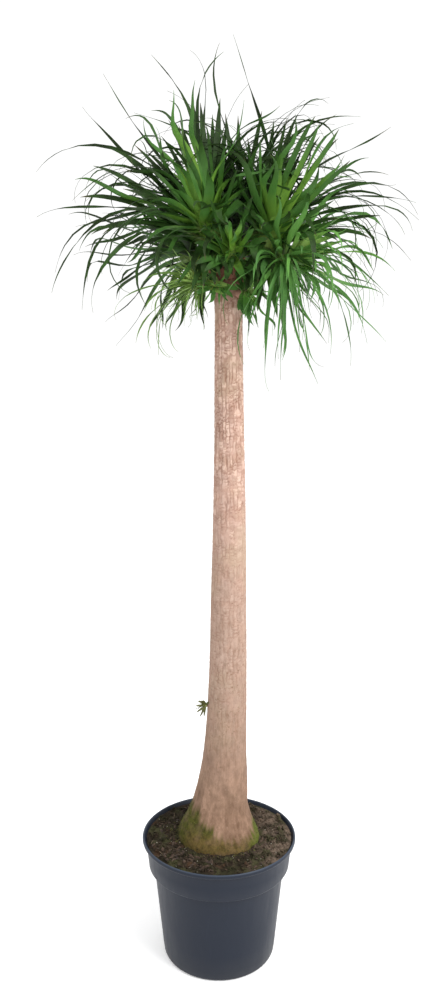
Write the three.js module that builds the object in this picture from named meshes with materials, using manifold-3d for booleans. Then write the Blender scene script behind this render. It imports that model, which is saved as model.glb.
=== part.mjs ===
// A ponytail palm grown as a single-stem tree, in a round nursery pot.
// Millimetres, +Z up, the pot's flat underside at z = 0 and its centre on the Z axis.
// The front, which is the side that the plant is shown from, faces -Y.
// The pieces are the pot, the soil that fills it, the woody stem with its swollen foot and its short necks,
// and one head of strap leaves on the end of each neck.
import * as THREE from "three";
import { mergeVertices } from "three/addons/utils/BufferGeometryUtils.js";
import Module from "manifold-3d";

const wasm = await Module();
wasm.setup();

// Driving dimensions
const POT_RADIUS = 203; // outside of the rolled rim of a 40 cm pot
const POT_HEIGHT = 321;
const POT_SIDES = 32;
const COLLAR_FOOT = 241; // height of the step under the collar
const DRAIN_HOLES = 8;
const SOIL_LEVEL = 312; // at the pot wall, 9 mm below the rim
const SOIL_MOUND = 4; // how much higher the soil lies against the stem
const SEAT_GAP = 0.4; // between pieces that rest on each other
const FOOT_RADIUS = 107; // the swollen foot of the stem at the soil
const FOOT_DEPTH = 0.96; // the foot is a little shallower from front to back than it is wide
const FOOT_BOTTOM = 252; // the foot is sunk 60 mm into the soil
const STEM_TOP = 1776;
const BARK_RIBS = 16; // ridges between the long cracks in the bark
const BARK_RELIEF = 1.1;
const BLADE_STEPS = 24; // each leaf is laid out in this many equal steps
const STRAY_RINGS = [0, 3, 8, 13, 19]; // the steps where a long stray leaf has a section
const ROSETTE_RINGS = [0, 3, 10, 17];
const TUFT_RINGS = [0, 4, 14]; // and a short one of a tuft
const TUFT_LEAF = 150; // the longest leaf that counts as short
const FRONT_LOSS = 0.55; // how much shorter than the others, as a share, a leaf is that grows straight to the front
const WAVES = 6.5; // how far round, in radians, a leaf's sway goes from its root to its tip
const ROOT_SINK = 6; // how far a leaf's root goes into the thickest core
const THICKEST_CORE = 24;
const GOLDEN_ANGLE = 137.508;
const TRIES = 24; // how many layouts a leaf is given to find its way clear of other pieces
const TOLERANCE = 0.02; // how exactly solids are fused
const THINNEST_FACE = 0.004; // a fused head with a thinner sliver of a face is fused another way
const CORE_TURN = 0.4; // in degrees

const rad = THREE.MathUtils.degToRad;
const lerp = THREE.MathUtils.lerp;
const point = (x, y, z) => new THREE.Vector3(x, y, z);

// Solids and meshes

function solidOf(geometry) {
  const bare = new THREE.BufferGeometry();
  bare.setAttribute("position", geometry.getAttribute("position"));
  bare.setIndex(geometry.getIndex());
  const merged = mergeVertices(bare, 1e-3);
  return new wasm.Manifold(
    new wasm.Mesh({
      numProp: 3,
      vertProperties: merged.getAttribute("position").array,
      triVerts: new Uint32Array(merged.getIndex().array),
      tolerance: TOLERANCE,
    }),
  );
}

function geometryOf(solid) {
  const mesh = solid.getMesh();
  const geometry = new THREE.BufferGeometry();
  geometry.setAttribute(
    "position",
    new THREE.BufferAttribute(mesh.vertProperties, 3),
  );
  geometry.setIndex(new THREE.BufferAttribute(mesh.triVerts, 1));
  return geometry;
}

// Whether any face of a solid is a sliver.
function hasSliver(solid) {
  const { vertProperties, triVerts } = solid.getMesh();
  const corner = (i) => new THREE.Vector3().fromArray(vertProperties, 3 * triVerts[i]);
  for (let i = 0; i < triVerts.length; i += 3) {
    const [a, b, c] = [corner(i), corner(i + 1), corner(i + 2)];
    const longest = Math.max(a.distanceTo(b), b.distanceTo(c), c.distanceTo(a));
    if (2 * new THREE.Triangle(a, b, c).getArea() < THINNEST_FACE * longest) {
      return true;
    }
  }
  return false;
}

// Whether a face with corners a and b on one ring and c and d on the next stands out further when it is folded from
// a to d than from b to c.
function foldsOut(a, b, c, d) {
  const outward = b.clone().sub(a).cross(c.clone().sub(a));
  return a.clone().add(d).sub(b).sub(c).dot(outward) > 0;
}

// A skin over a row of rings. Each ring runs anticlockwise about the direction of travel, and the last may be one point.
// Every face is folded outwards, so that the two sides of a twisted leaf don't cross.
function loft(rings) {
  const corners = rings.flat();
  const positions = corners.flatMap((p) => p.toArray());
  const faces = [];
  const sides = rings[0].length;
  let start = 0;
  for (let k = 0; k + 1 < rings.length; k++) {
    const next = start + sides;
    const pointed = rings[k + 1].length === 1;
    for (let j = 0; j < sides; j++) {
      const i = (j + 1) % sides;
      if (pointed) {
        faces.push(start + j, start + i, next);
        continue;
      }
      const [a, b, c, d] = [start + j, start + i, next + j, next + i];
      if (foldsOut(corners[a], corners[b], corners[c], corners[d])) {
        faces.push(a, b, d);
        faces.push(a, d, c);
      } else {
        faces.push(a, b, c);
        faces.push(b, d, c);
      }
    }
    start = next;
  }
  for (let j = 1; j + 1 < sides; j++) {
    faces.push(0, j + 1, j);
    if (rings.at(-1).length > 1) {
      faces.push(start, start + j, start + j + 1);
    }
  }
  const geometry = new THREE.BufferGeometry();
  geometry.setAttribute(
    "position",
    new THREE.Float32BufferAttribute(positions, 3),
  );
  geometry.setIndex(faces);
  return geometry;
}

// A round limb of the stem along a curve, with a flat end.
function limb(curve, [startRadius, endRadius], sides, steps) {
  const frames = curve.computeFrenetFrames(steps, false);
  const rings = [];
  for (let k = 0; k <= steps; k++) {
    const centre = curve.getPointAt(k / steps);
    const radius = lerp(startRadius, endRadius, k / steps);
    const ring = [];
    for (let j = 0; j < sides; j++) {
      const angle = (2 * Math.PI * j) / sides;
      ring.push(
        centre
          .clone()
          .addScaledVector(frames.normals[k], radius * Math.cos(angle))
          .addScaledVector(frames.binormals[k], radius * Math.sin(angle)),
      );
    }
    rings.push(ring);
  }
  return loft(rings);
}

// A shape turned about the Z axis from [radius, height] points.
function turned(profile, sides) {
  const geometry = new THREE.LatheGeometry(
    profile.map(([r, z]) => new THREE.Vector2(r, z)),
    sides,
  );
  geometry.rotateX(Math.PI / 2);
  return geometry;
}

function namedMesh(name, geometry, material) {
  const mesh = new THREE.Mesh(geometry, material);
  mesh.name = name;
  return mesh;
}

function finish(color, roughness) {
  return new THREE.MeshStandardMaterial({ color, roughness, metalness: 0 });
}

// The pot: moulded plastic with a rolled rim, a deep stacking collar and a step where the collar meets the wall.
// Under it are a flat middle and a flat foot ring, with the drain holes in the raised channel between them.
const POT_OUTSIDE = [
  [0, 0],
  [78, 0],
  [82, 5],
  [112, 5],
  [116, 0],
  [139, 0],
  [145, 2],
  [148, 7],
  [173, COLLAR_FOOT - 4],
  [184.5, COLLAR_FOOT],
  [186.5, COLLAR_FOOT + 3],
  [194.5, POT_HEIGHT - 12.5],
  [201.6, POT_HEIGHT - 11.5],
  [POT_RADIUS, POT_HEIGHT - 8],
  [POT_RADIUS, POT_HEIGHT - 2.5],
  [201, POT_HEIGHT],
];
const POT_INSIDE = [
  [0, 3],
  [76, 3],
  [80, 8],
  [114, 8],
  [118, 3],
  [142, 3],
  [145.6, 7],
  [170.6, COLLAR_FOOT - 2],
  [183.6, COLLAR_FOOT + 4],
  [191.6, POT_HEIGHT - 11],
  [197.5, POT_HEIGHT - 4.5],
  [198.6, POT_HEIGHT],
];
const DRAIN_RADIUS = 7;
const DRAIN_CIRCLE = 97; // runs along the middle of the raised channel

function pot() {
  const shell = turned([...POT_OUTSIDE, ...POT_INSIDE.toReversed()], POT_SIDES);
  let solid = solidOf(shell);
  for (let i = 0; i < DRAIN_HOLES; i++) {
    const angle = (2 * Math.PI * (i + 0.5)) / DRAIN_HOLES;
    const drill = new THREE.CylinderGeometry(DRAIN_RADIUS, DRAIN_RADIUS, 30, 8);
    drill.rotateX(Math.PI / 2);
    drill.translate(
      DRAIN_CIRCLE * Math.cos(angle),
      DRAIN_CIRCLE * Math.sin(angle),
      6,
    );
    solid = solid.subtract(solidOf(drill));
  }
  return namedMesh("pot", geometryOf(solid), finish(0x454c59, 0.55));
}

// The inside radius of the pot at a height, which the soil follows.
function potInsideRadius(height) {
  const wall = POT_INSIDE.slice(5);
  for (let i = 0; i + 1 < wall.length; i++) {
    const [r0, z0] = wall[i];
    const [r1, z1] = wall[i + 1];
    if (height >= z0 && height <= z1) {
      return lerp(r0, r1, (height - z0) / (z1 - z0));
    }
  }
  return wall.at(-1)[0];
}

// The soil: a root ball that fills the pot, crumbly on top, with a plain hole where the foot of the stem stands.
const CRUMB_HEIGHT = 3.2;

function crumbs(x, y) {
  const coarse = Math.sin(x / 17 + 2.1 * Math.sin(y / 23));
  const fine = Math.sin(y / 11 + 1.7 * Math.sin(x / 13));
  return (coarse + fine) / 2;
}

function soil() {
  const edge = potInsideRadius(SOIL_LEVEL) - SEAT_GAP;
  const hole = FOOT_RADIUS + SEAT_GAP;
  const profile = [
    [0, 3 + SEAT_GAP],
    [76 - SEAT_GAP, 3 + SEAT_GAP],
    [80 - SEAT_GAP, 8 + SEAT_GAP],
    [114 + SEAT_GAP, 8 + SEAT_GAP],
    [118 + SEAT_GAP, 3 + SEAT_GAP],
    [141.5, 3 + SEAT_GAP],
    [145.6 - SEAT_GAP, 7.5],
    [170.6 - SEAT_GAP, COLLAR_FOOT - 2 + SEAT_GAP],
    [183.6 - SEAT_GAP, COLLAR_FOOT + 4 + SEAT_GAP],
    [191.6 - SEAT_GAP, POT_HEIGHT - 11],
    [edge, SOIL_LEVEL],
  ];
  const surfaceRings = 3;
  for (let k = 1; k <= surfaceRings; k++) {
    const share = k / (surfaceRings + 1);
    profile.push([lerp(edge, hole, share), SOIL_LEVEL + SOIL_MOUND * share]);
  }
  profile.push([hole, SOIL_LEVEL + SOIL_MOUND]);
  profile.push([100 + SEAT_GAP, FOOT_BOTTOM - SEAT_GAP]);
  profile.push([0, FOOT_BOTTOM - SEAT_GAP]);
  const geometry = turned(profile, POT_SIDES);
  const places = geometry.getAttribute("position");
  for (let i = 0; i < places.count; i++) {
    const x = places.getX(i);
    const y = places.getY(i);
    const z = places.getZ(i);
    const reach = Math.hypot(x, y);
    if (z > FOOT_BOTTOM - 1 && reach < hole + 1) {
      places.setY(i, FOOT_DEPTH * y);
    } else if (z > SOIL_LEVEL - 1 && reach < edge - 2) {
      places.setZ(i, z + CRUMB_HEIGHT * crumbs(x, y));
    }
  }
  return namedMesh("soil", geometry, finish(0x3d352b, 0.95));
}

// The stem: one woody trunk. Each station is [height, radius, sideways shift of its centre]. It swells into a broad
// foot at the soil, more to the left than to the right, and tapers gently to the crown.
const STEM_STATIONS = [
  [FOOT_BOTTOM, 100, 0],
  [SOIL_LEVEL + 3, FOOT_RADIUS - 0.4, 0],
  [321, 105.5, -1],
  [337, 101, -3],
  [355, 93, -3],
  [376, 84, -1],
  [402, 75, 2],
  [436, 69, 6],
  [480, 63.5, 11],
  [545, 56.5, 15.5],
  [620, 52.5, 19],
  [720, 49.5, 22],
  [840, 47, 24],
  [960, 45.2, 24.6],
  [1085, 43, 26],
  [1213, 40.5, 26.5],
  [1340, 38, 26],
  [1464, 36.2, 25],
  [1588, 34.8, 24],
  [1670, 34.5, 24],
  [1726, 36.5, 25],
  [1752, 35, 26],
  [1768, 27, 27],
  [STEM_TOP, 14, 27],
];
const STEM_SIDES = 2 * BARK_RIBS;

// The bark's relief: ridges and cracks side by side, which wander in depth and fade out towards the smooth foot.
function barkRelief(rib, height) {
  const fade = THREE.MathUtils.smoothstep(height, 330, 620);
  const wander = 0.65 + 0.35 * Math.sin(2.3 * rib + height / 47);
  return (rib % 2 ? -1 : 1) * BARK_RELIEF * fade * wander;
}

function stemRing([height, radius, shift]) {
  const depth = lerp(FOOT_DEPTH, 1, THREE.MathUtils.smoothstep(height, 350, 500));
  const ring = [];
  for (let j = 0; j < STEM_SIDES; j++) {
    const angle = (2 * Math.PI * j) / STEM_SIDES;
    const reach = radius + barkRelief(j, height);
    ring.push(
      point(shift + reach * Math.cos(angle), depth * reach * Math.sin(angle), height),
    );
  }
  return ring;
}

// The heads. Each sits on the flat end of a neck of the stem at seat, and its core grows from there along axis.
// blades is how many leaves its rosette has. length gives the innermost, a middle and the outermost leaf. lean and
// sag give the innermost and the outermost: the degrees from the axis, and those that it droops from root to tip.
// Each row of strays is one long leaf that shapes the outline: its bearing (0 right, 90 back, 180 left), its rise
// above level at the root, its rise at the tip, how late it bends, its length, and the last curl of its tip.
const HEADS = [
  {
    name: "head_left",
    seat: [-12, -28, 1828],
    axis: [-0.36, -0.28, 0.89],
    neck: { from: [16, -6, 1712], radii: [21, 15] },
    core: { length: 90, radius: 24 },
    blades: 50,
    length: [300, 335, 135],
    width: 24,
    lean: [6, 108],
    sag: [14, 100],
    seed: 11,
    strays: [
      [182, 87, 42, 5, 420, 0],
      [178, 79, 42, 4.5, 430, 0],
      [184, 62, 48, 1, 430, 0],
      [174, 52, 30, 0.6, 430, 46],
      [168, 62, -24, 0.8, 475, -25],
      [186, 32, -44, 1.5, 415, 0],
      [193, 36, -96, 1.2, 480, 0],
      [202, 24, -102, 1.3, 445, 0],
      [210, 18, -110, 1.3, 415, 0],
      [222, 10, -114, 1.2, 330, 0],
      [214, 8, -160, 1.4, 320, 0],
      [4, 91, 40, 2.5, 400, 10],
    ],
  },
  {
    name: "head_right",
    seat: [98, -28, 1812],
    axis: [0.46, -0.26, 0.85],
    neck: { from: [34, -6, 1712], radii: [21, 15] },
    core: { length: 90, radius: 24 },
    blades: 48,
    length: [285, 325, 160],
    width: 24,
    lean: [6, 106],
    sag: [14, 104],
    seed: 23,
    strays: [
      [6, 68, 40, 2.4, 340, 0],
      [-4, 63, 8, 1.3, 380, 0],
      [8, 60, -26, 1.4, 365, 0],
      [-8, 56, -30, 0.9, 380, 0],
      [-14, 50, -52, 1.2, 410, 0],
      [-18, 40, -70, 1.5, 385, 0],
      [-10, 34, -138, 1.5, 410, 0],
      [180, 101, 58, 0.9, 465, 0],
      [3, 84, -85, 6, 370, 0],
    ],
  },
  {
    name: "head_back",
    seat: [52, 58, 1836],
    axis: [0.18, 0.5, 0.85],
    neck: { from: [30, 8, 1712], radii: [21, 15] },
    core: { length: 90, radius: 24 },
    blades: 44,
    length: [280, 330, 190],
    width: 22,
    lean: [6, 106],
    sag: [14, 104],
    seed: 37,
    strays: [
      [180, 94, 60, 0.8, 465, 48],
      [2, 84, -80, 2, 450, 0],
      [40, 60, -60, 1.2, 430, 0],
      [75, 52, -70, 1.2, 420, 0],
      [110, 48, -80, 1.3, 430, 0],
    ],
  },
  {
    name: "head_back_left",
    seat: [-34, 40, 1806],
    axis: [-0.66, 0.42, 0.62],
    neck: { from: [18, 6, 1708], radii: [19, 14] },
    core: { length: 76, radius: 21 },
    blades: 36,
    length: [280, 285, 130],
    width: 20,
    lean: [8, 94],
    sag: [20, 96],
    seed: 45,
    strays: [
      [165, 58, -20, 1.2, 400, 0],
      [135, 46, -70, 1.3, 400, 0],
    ],
  },
  {
    name: "head_low_right",
    seat: [128, -46, 1782],
    axis: [0.8, -0.48, 0.36],
    neck: { from: [40, -8, 1700], radii: [19, 13] },
    core: { length: 66, radius: 20 },
    blades: 36,
    length: [230, 250, 190],
    width: 17,
    lean: [8, 105],
    sag: [60, 95],
    seed: 60,
    strays: [
      [-8, 18, -98, 1.1, 300, 0],
      [-16, 10, -112, 0.8, 335, 0],
      [-26, 5, -84, 0.8, 310, 20],
      [-50, -30, -85, 0.5, 290, 75],
      [-64, -10, -90, 0.5, 300, 0],
      [-110, -20, -95, 0.4, 250, 30],
    ],
  },
  {
    name: "tuft_low_left",
    seat: [-34, -30, 1744],
    axis: [-0.84, -0.5, 0.1],
    neck: { from: [12, -8, 1722], radii: [14, 9] },
    core: { length: 30, radius: 11 },
    blades: 26,
    length: [110, 120, 90],
    width: 7,
    lean: [8, 95],
    sag: [10, 70],
    seed: 61,
    strays: [
      [-140, 10, -70, 1, 190, 0],
      [-120, -10, -80, 0.8, 150, 0],
    ],
  },
  {
    name: "tuft_centre",
    seat: [30, -48, 1796],
    axis: [0.04, -0.62, 0.78],
    neck: { from: [26, -8, 1724], radii: [16, 11] },
    core: { length: 40, radius: 15 },
    blades: 22,
    length: [100, 130, 100],
    width: 16,
    lean: [8, 110],
    sag: [25, 80],
    seed: 73,
    strays: [],
  },
  {
    name: "shoot_hanging",
    seat: [60, -44, 1720],
    axis: [0.64, -0.76, -0.1],
    neck: { from: [30, -10, 1712], radii: [13, 8] },
    core: { length: 20, radius: 9 },
    blades: 9,
    length: [110, 120, 80],
    width: 18,
    lean: [10, 90],
    sag: [70, 60],
    seed: 83,
    strays: [],
  },
  {
    name: "shoot_front",
    seat: [2, -40, 1738],
    axis: [-0.5, -0.8, 0.15],
    neck: { from: [18, -10, 1726], radii: [12, 8] },
    core: { length: 16, radius: 8 },
    blades: 8,
    length: [60, 75, 60],
    width: 15,
    lean: [12, 85],
    sag: [10, 30],
    seed: 89,
    strays: [],
  },
  {
    name: "sprig_on_stem",
    seat: [-33, -8, 675],
    axis: [-0.98, -0.15, 0.1],
    neck: { from: [-14, -6, 673], radii: [5, 3.5] },
    core: { length: 7, radius: 3.4 },
    blades: 7,
    length: [24, 26, 20],
    width: 4.5,
    lean: [10, 80],
    sag: [10, 40],
    seed: 97,
    strays: [],
  },
];

function neck({ seat, axis, neck: { from, radii } }) {
  const end = point(...seat);
  const start = point(...from);
  const out = point(...axis).normalize();
  const reach = start.distanceTo(end);
  const curve = new THREE.CubicBezierCurve3(
    start,
    start.clone().add(point(0, 0, 0.3 * reach)),
    end.clone().addScaledVector(out, -0.35 * reach),
    end,
  );
  return limb(curve, radii, 8, 4);
}

function stem() {
  let solid = solidOf(loft(STEM_STATIONS.map(stemRing)));
  for (const head of HEADS) {
    solid = solid.add(solidOf(neck(head)));
  }
  return solid;
}

// A row of even draws from 0 to 1 that is the same each time for the same seed.
function draws(seed) {
  let state = (seed * 48271 + 11) % 2147483647;
  return () => {
    state = (state * 48271) % 2147483647;
    return state / 2147483647;
  };
}

// Where a head's core is at a height above its seat, and how thick it is there.
const coreRadius = (head, height) =>
  head.core.radius * (1 - (0.62 * height) / head.core.length);

function coreOf(head, turn = 0) {
  const { length } = head.core;
  const profile = [
    [0, SEAT_GAP],
    [coreRadius(head, 0), SEAT_GAP],
    [coreRadius(head, 0.5 * length), 0.5 * length],
    [coreRadius(head, length), length],
    [0, length * 1.06],
  ];
  const geometry = turned(profile, 8);
  geometry.rotateZ(rad(turn));
  const upright = new THREE.Quaternion().setFromUnitVectors(
    point(0, 0, 1),
    point(...head.axis).normalize(),
  );
  geometry.applyQuaternion(upright);
  geometry.translate(...head.seat);
  return solidOf(geometry);
}

// A way that rises above level on a bearing from +X, and the level way across that bearing.
const wayOf = (bearing, rise) =>
  point(
    Math.cos(rise) * Math.cos(bearing),
    Math.cos(rise) * Math.sin(bearing),
    Math.sin(rise),
  );
const levelOf = (bearing) => point(-Math.sin(bearing), Math.cos(bearing), 0);

// The length of a rosette's leaves from the innermost, at age 0, to the outermost, at age 1.
function lengthAt(head, age) {
  const [young, middle, old] = head.length;
  return age < 0.5 ? lerp(young, middle, 2 * age) : lerp(middle, old, 2 * age - 1);
}

// The layout of one leaf of a rosette. Leaves follow each other by the golden angle, the first innermost and highest.
function rosetteLeaf(head, index, attempt) {
  const draw = draws(head.seed * 4096 + index * TRIES + attempt);
  const axis = point(...head.axis).normalize();
  const across = point(0, 1, 0).cross(axis).normalize();
  const along = axis.clone().cross(across);
  const age = (index + 0.5) / head.blades;
  const turn = rad(index * GOLDEN_ANGLE + (26 + 9 * attempt) * (draw() - 0.5));
  const lean = rad(lerp(...head.lean, age ** 0.8) + (14 + attempt) * (draw() - 0.5));
  const way = axis
    .clone()
    .multiplyScalar(Math.cos(lean))
    .addScaledVector(across, Math.sin(lean) * Math.cos(turn))
    .addScaledVector(along, Math.sin(lean) * Math.sin(turn));
  const rise = Math.asin(THREE.MathUtils.clamp(way.z, -1, 1));
  const sag = rad(lerp(...head.sag, age ** 0.6) * (0.7 + 0.6 * draw()));
  return {
    bearing: Math.atan2(way.y, way.x),
    height: head.core.length * lerp(0.96, 0.14, age ** 0.8),
    rise,
    fall: Math.max(rise - sag, rad(-98 + 20 * draw())),
    late: 0.8 + 1.2 * draw(),
    length: lengthAt(head, age) * (0.8 + 0.4 * draw()) * (1 - FRONT_LOSS * Math.max(0, -way.y)),
    width: head.width * (0.84 + 0.3 * draw()),
    rings: head.length[0] < TUFT_LEAF ? TUFT_RINGS : ROSETTE_RINGS,
    swing: rad(50 * (draw() - 0.5)),
    twist: rad(160 * (draw() - 0.5)),
    curl: rad(60 * (draw() - 0.45)),
    sway: rad(25 + 25 * draw()),
    phase: 2 * Math.PI * draw(),
  };
}

function strayLeaf(head, index, attempt) {
  const draw = draws(head.seed * 8192 + index * TRIES + attempt);
  const [bearing, rise, fall, late, length, curl] = head.strays[index];
  return {
    bearing: rad(bearing + 3 * attempt * (draw() - 0.5)),
    height: head.core.length * (lerp(0.22, 0.5, Math.max(0, rise) / 90) + 0.02 * attempt),
    rise: rad(rise + attempt * (draw() - 0.5)),
    fall: rad(fall),
    late,
    length,
    width: 0.62 * head.width,
    rings: STRAY_RINGS,
    swing: rad(12 * (draw() - 0.5)),
    twist: rad(120 * (draw() - 0.5)),
    curl: rad(curl),
    sway: rad(10 + 12 * draw()),
    phase: 2 * Math.PI * draw(),
  };
}

// The midline of a leaf, one place and frame a step. It bends in the upright plane of its bearing, sways more and more
// towards the tip, and its flat faces the core at the root.
function midline(head, leaf) {
  const axis = point(...head.axis).normalize();
  const start = wayOf(leaf.bearing, leaf.rise);
  const outward = start.clone().projectOnPlane(axis).normalize();
  const sink = ROOT_SINK * (head.core.radius / THICKEST_CORE);
  const place = point(...head.seat)
    .addScaledVector(axis, leaf.height)
    .addScaledVector(outward, coreRadius(head, leaf.height) - sink);
  const level = levelOf(leaf.bearing);
  const facing = axis.clone().cross(start).normalize();
  const roll = Math.atan2(facing.dot(start.clone().cross(level)), facing.dot(level));
  const steps = [];
  for (let k = 0; k <= BLADE_STEPS; k++) {
    const share = k / BLADE_STEPS;
    const sway = leaf.sway * share;
    const wave = leaf.phase + WAVES * share;
    const rise =
      leaf.rise +
      (leaf.fall - leaf.rise) * share ** leaf.late +
      leaf.curl * share ** 6 +
      sway * Math.sin(wave);
    const bearing = leaf.bearing + leaf.swing * share * share + sway * Math.cos(wave);
    const way = wayOf(bearing, rise);
    const tilt = roll * (1 - share) ** 2 + leaf.twist * share ** 1.5;
    const across = levelOf(bearing).applyAxisAngle(way, tilt);
    steps.push({ place: place.clone(), way, across, up: way.clone().cross(across) });
    place.addScaledVector(way, leaf.length / BLADE_STEPS);
  }
  return steps;
}

// A leaf's width along its length, as a share of the full width: a narrow root, widest at an eighth, then a strap that
// narrows faster and faster to its tip.
const taper = (share) =>
  share < 0.125 ? lerp(0.3, 1, share / 0.125) : 1 - ((share - 0.125) / 0.875) ** 1.8;

// A leaf as a closed blade with a shallow keel. With spare it is fatter, to test for clearance.
function blade(head, leaf, spare = 0) {
  const steps = midline(head, leaf);
  const rings = leaf.rings.map((k) => {
    const { place, across, up } = steps[k];
    const width = leaf.width * taper(k / BLADE_STEPS) + 2 * spare;
    const keel = Math.max(1, 0.13 * width) + 2 * spare;
    const top = place.clone().addScaledVector(up, spare);
    return [
      top.clone().addScaledVector(across, width / 2),
      top.clone().addScaledVector(across, -width / 2),
      top.clone().addScaledVector(up, -keel),
    ];
  });
  const tip = steps.at(-1);
  rings.push([tip.place.clone().addScaledVector(tip.way, 3 * spare)]);
  return solidOf(loft(rings));
}

function pieceOf(solid) {
  return { solid, box: solid.boundingBox() };
}

function boxesMeet(a, b) {
  return [0, 1, 2].every((k) => a.min[k] < b.max[k] && b.min[k] < a.max[k]);
}

function meets(solid, others) {
  const box = solid.boundingBox();
  return others.some((other) => {
    if (!boxesMeet(box, other.box)) {
      return false;
    }
    const shared = solid.intersect(other.solid);
    const apart = shared.isEmpty();
    shared.delete();
    return !apart;
  });
}

// The largest body of a solid, filled: sealed hollows and loose scraps that fusing left are dropped.
const mainBody = (solid) =>
  solid.decompose().reduce((a, b) => (a.volume() > b.volume() ? a : b));

// Grows the leaves of all heads in turn. A leaf that would cross another leaf, the stem or the core of another head
// is laid out again, and it is left out if no layout is clear.
const CLEARANCE = 0.5;

function growHeads(stemSolid) {
  const heads = HEADS.map((head) => ({ head, pieces: [pieceOf(coreOf(head))] }));
  const stemPiece = pieceOf(stemSolid);

  const grow = (own, layout, index) => {
    const others = heads.filter((other) => other !== own);
    const foreign = [stemPiece, ...others.flatMap((other) => other.pieces)];
    for (let attempt = 0; attempt < TRIES; attempt++) {
      const leaf = layout(own.head, index, attempt);
      const solid = blade(own.head, leaf);
      const roomy = blade(own.head, leaf, CLEARANCE);
      const blocked = meets(solid, own.pieces.slice(1)) || meets(roomy, foreign);
      roomy.delete();
      if (!blocked) {
        own.pieces.push(pieceOf(solid));
        return;
      }
      solid.delete();
    }
  };

  const growAll = (countOf, layout) => {
    const most = Math.max(...HEADS.map(countOf));
    for (let index = 0; index < most; index++) {
      for (const own of heads) {
        if (index < countOf(own.head)) {
          grow(own, layout, index);
        }
      }
    }
  };

  growAll((head) => head.strays.length, strayLeaf);
  growAll((head) => head.blades, rosetteLeaf);
  return heads;
}

// A head's core and leaves in one. The core's sides are turned step by step until no face comes out as a sliver.
function fused({ head, pieces }) {
  const leaves = pieces.slice(1).map((piece) => piece.solid);
  const joined = (turn) =>
    mainBody([coreOf(head, turn), ...leaves].reduce((a, b) => a.add(b)));
  let turn = 0;
  let solid = joined(turn);
  while (hasSliver(solid)) {
    turn += CORE_TURN;
    solid = joined(turn);
  }
  return solid;
}

const LEAF_GREEN = finish(0x2f6a2b, 0.5);
const YOUNG_GREEN = finish(0x5c8f3c, 0.55);

function headMesh(grown) {
  const { head } = grown;
  const geometry = geometryOf(fused(grown));
  geometry.translate(...head.seat.map((v) => -v));
  const green = head.name.startsWith("head_") ? LEAF_GREEN : YOUNG_GREEN;
  const mesh = namedMesh(head.name, geometry, green);
  mesh.position.set(...head.seat);
  return mesh;
}

const palm = new THREE.Group();
const holder = new THREE.Group();
holder.add(pot(), soil());
const plant = new THREE.Group();
const stemSolid = stem();
plant.add(namedMesh("stem", geometryOf(stemSolid), finish(0xc7a58b, 0.85)));
plant.add(...growHeads(stemSolid).map(headMesh));
palm.add(holder, plant);

export default palm;
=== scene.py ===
"""A ponytail palm grown as one tall stem with a swollen foot, in a round nursery pot."""

import math
import random

import bpy
import numpy as np
from mathutils import Euler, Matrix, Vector, noise
from mathutils.kdtree import KDTree


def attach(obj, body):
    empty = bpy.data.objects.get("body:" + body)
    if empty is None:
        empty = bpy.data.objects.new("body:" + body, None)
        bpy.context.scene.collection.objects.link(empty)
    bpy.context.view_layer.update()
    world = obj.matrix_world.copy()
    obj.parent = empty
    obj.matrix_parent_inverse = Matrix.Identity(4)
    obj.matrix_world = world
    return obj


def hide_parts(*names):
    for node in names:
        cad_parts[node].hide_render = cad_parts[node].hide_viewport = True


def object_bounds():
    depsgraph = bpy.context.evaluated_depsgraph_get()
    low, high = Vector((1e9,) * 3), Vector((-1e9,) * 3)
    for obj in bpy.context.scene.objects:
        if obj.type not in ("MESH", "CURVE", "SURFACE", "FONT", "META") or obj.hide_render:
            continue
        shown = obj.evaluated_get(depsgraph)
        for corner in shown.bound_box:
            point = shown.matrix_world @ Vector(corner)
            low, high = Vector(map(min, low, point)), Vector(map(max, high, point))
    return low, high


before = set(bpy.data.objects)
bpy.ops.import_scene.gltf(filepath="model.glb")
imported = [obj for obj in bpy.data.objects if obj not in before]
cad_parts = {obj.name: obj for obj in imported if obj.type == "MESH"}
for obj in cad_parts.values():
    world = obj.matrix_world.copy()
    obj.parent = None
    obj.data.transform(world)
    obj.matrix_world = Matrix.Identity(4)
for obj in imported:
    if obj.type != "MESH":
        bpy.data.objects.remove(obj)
cad_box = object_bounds()
bpy.ops.object.select_all(action="DESELECT")

# The studio: a white floor that runs into a white surround with no edge. A big soft light stands high on the
# right, where stem and pot are brightest, and weaker ones stand lower down on the right and on the left.

bpy.context.scene.view_settings.view_transform = "Standard"

bpy.ops.object.camera_add(location=(0, -2.042, 1.464), rotation=(math.radians(83), 0, 0))
camera = bpy.context.object
camera.data.sensor_width = 36
camera.data.lens = 29.23
bpy.context.scene.camera = camera


def linear(colour):
    """Turns an sRGB colour such as "#7a8b4c" into the linear one that a shader takes."""
    shares = [int(colour[i : i + 2], 16) / 255 for i in (1, 3, 5)]
    return [s / 12.92 if s < 0.04045 else ((s + 0.055) / 1.055) ** 2.4 for s in shares] + [1]


def softbox(name, place, aim, size, watts):
    """Hangs a square soft light at a place, turned towards a point."""
    bpy.ops.object.light_add(type="AREA", location=place)
    light = bpy.context.object
    light.name = name
    light.rotation_euler = (Vector(aim) - Vector(place)).to_track_quat("-Z", "Y").to_euler()
    light.data.size = size
    light.data.energy = watts


softbox("light_right", (2.1, -1.9, 3.3), (0, 0, 1.2), 1.8, 96)
softbox("light_right_low", (2.2, -1.5, 1.3), (0, 0, 1.5), 0.9, 16)
softbox("light_left", (-2.6, -1.8, 2.2), (0, 0, 1.2), 1.8, 8)

surround = bpy.data.worlds.new("surround")
surround.use_nodes = True
background = surround.node_tree.nodes["Background"]
background.inputs["Color"].default_value = (1, 1, 1, 1)
background.inputs["Strength"].default_value = 1.06
bpy.context.scene.world = surround


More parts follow.
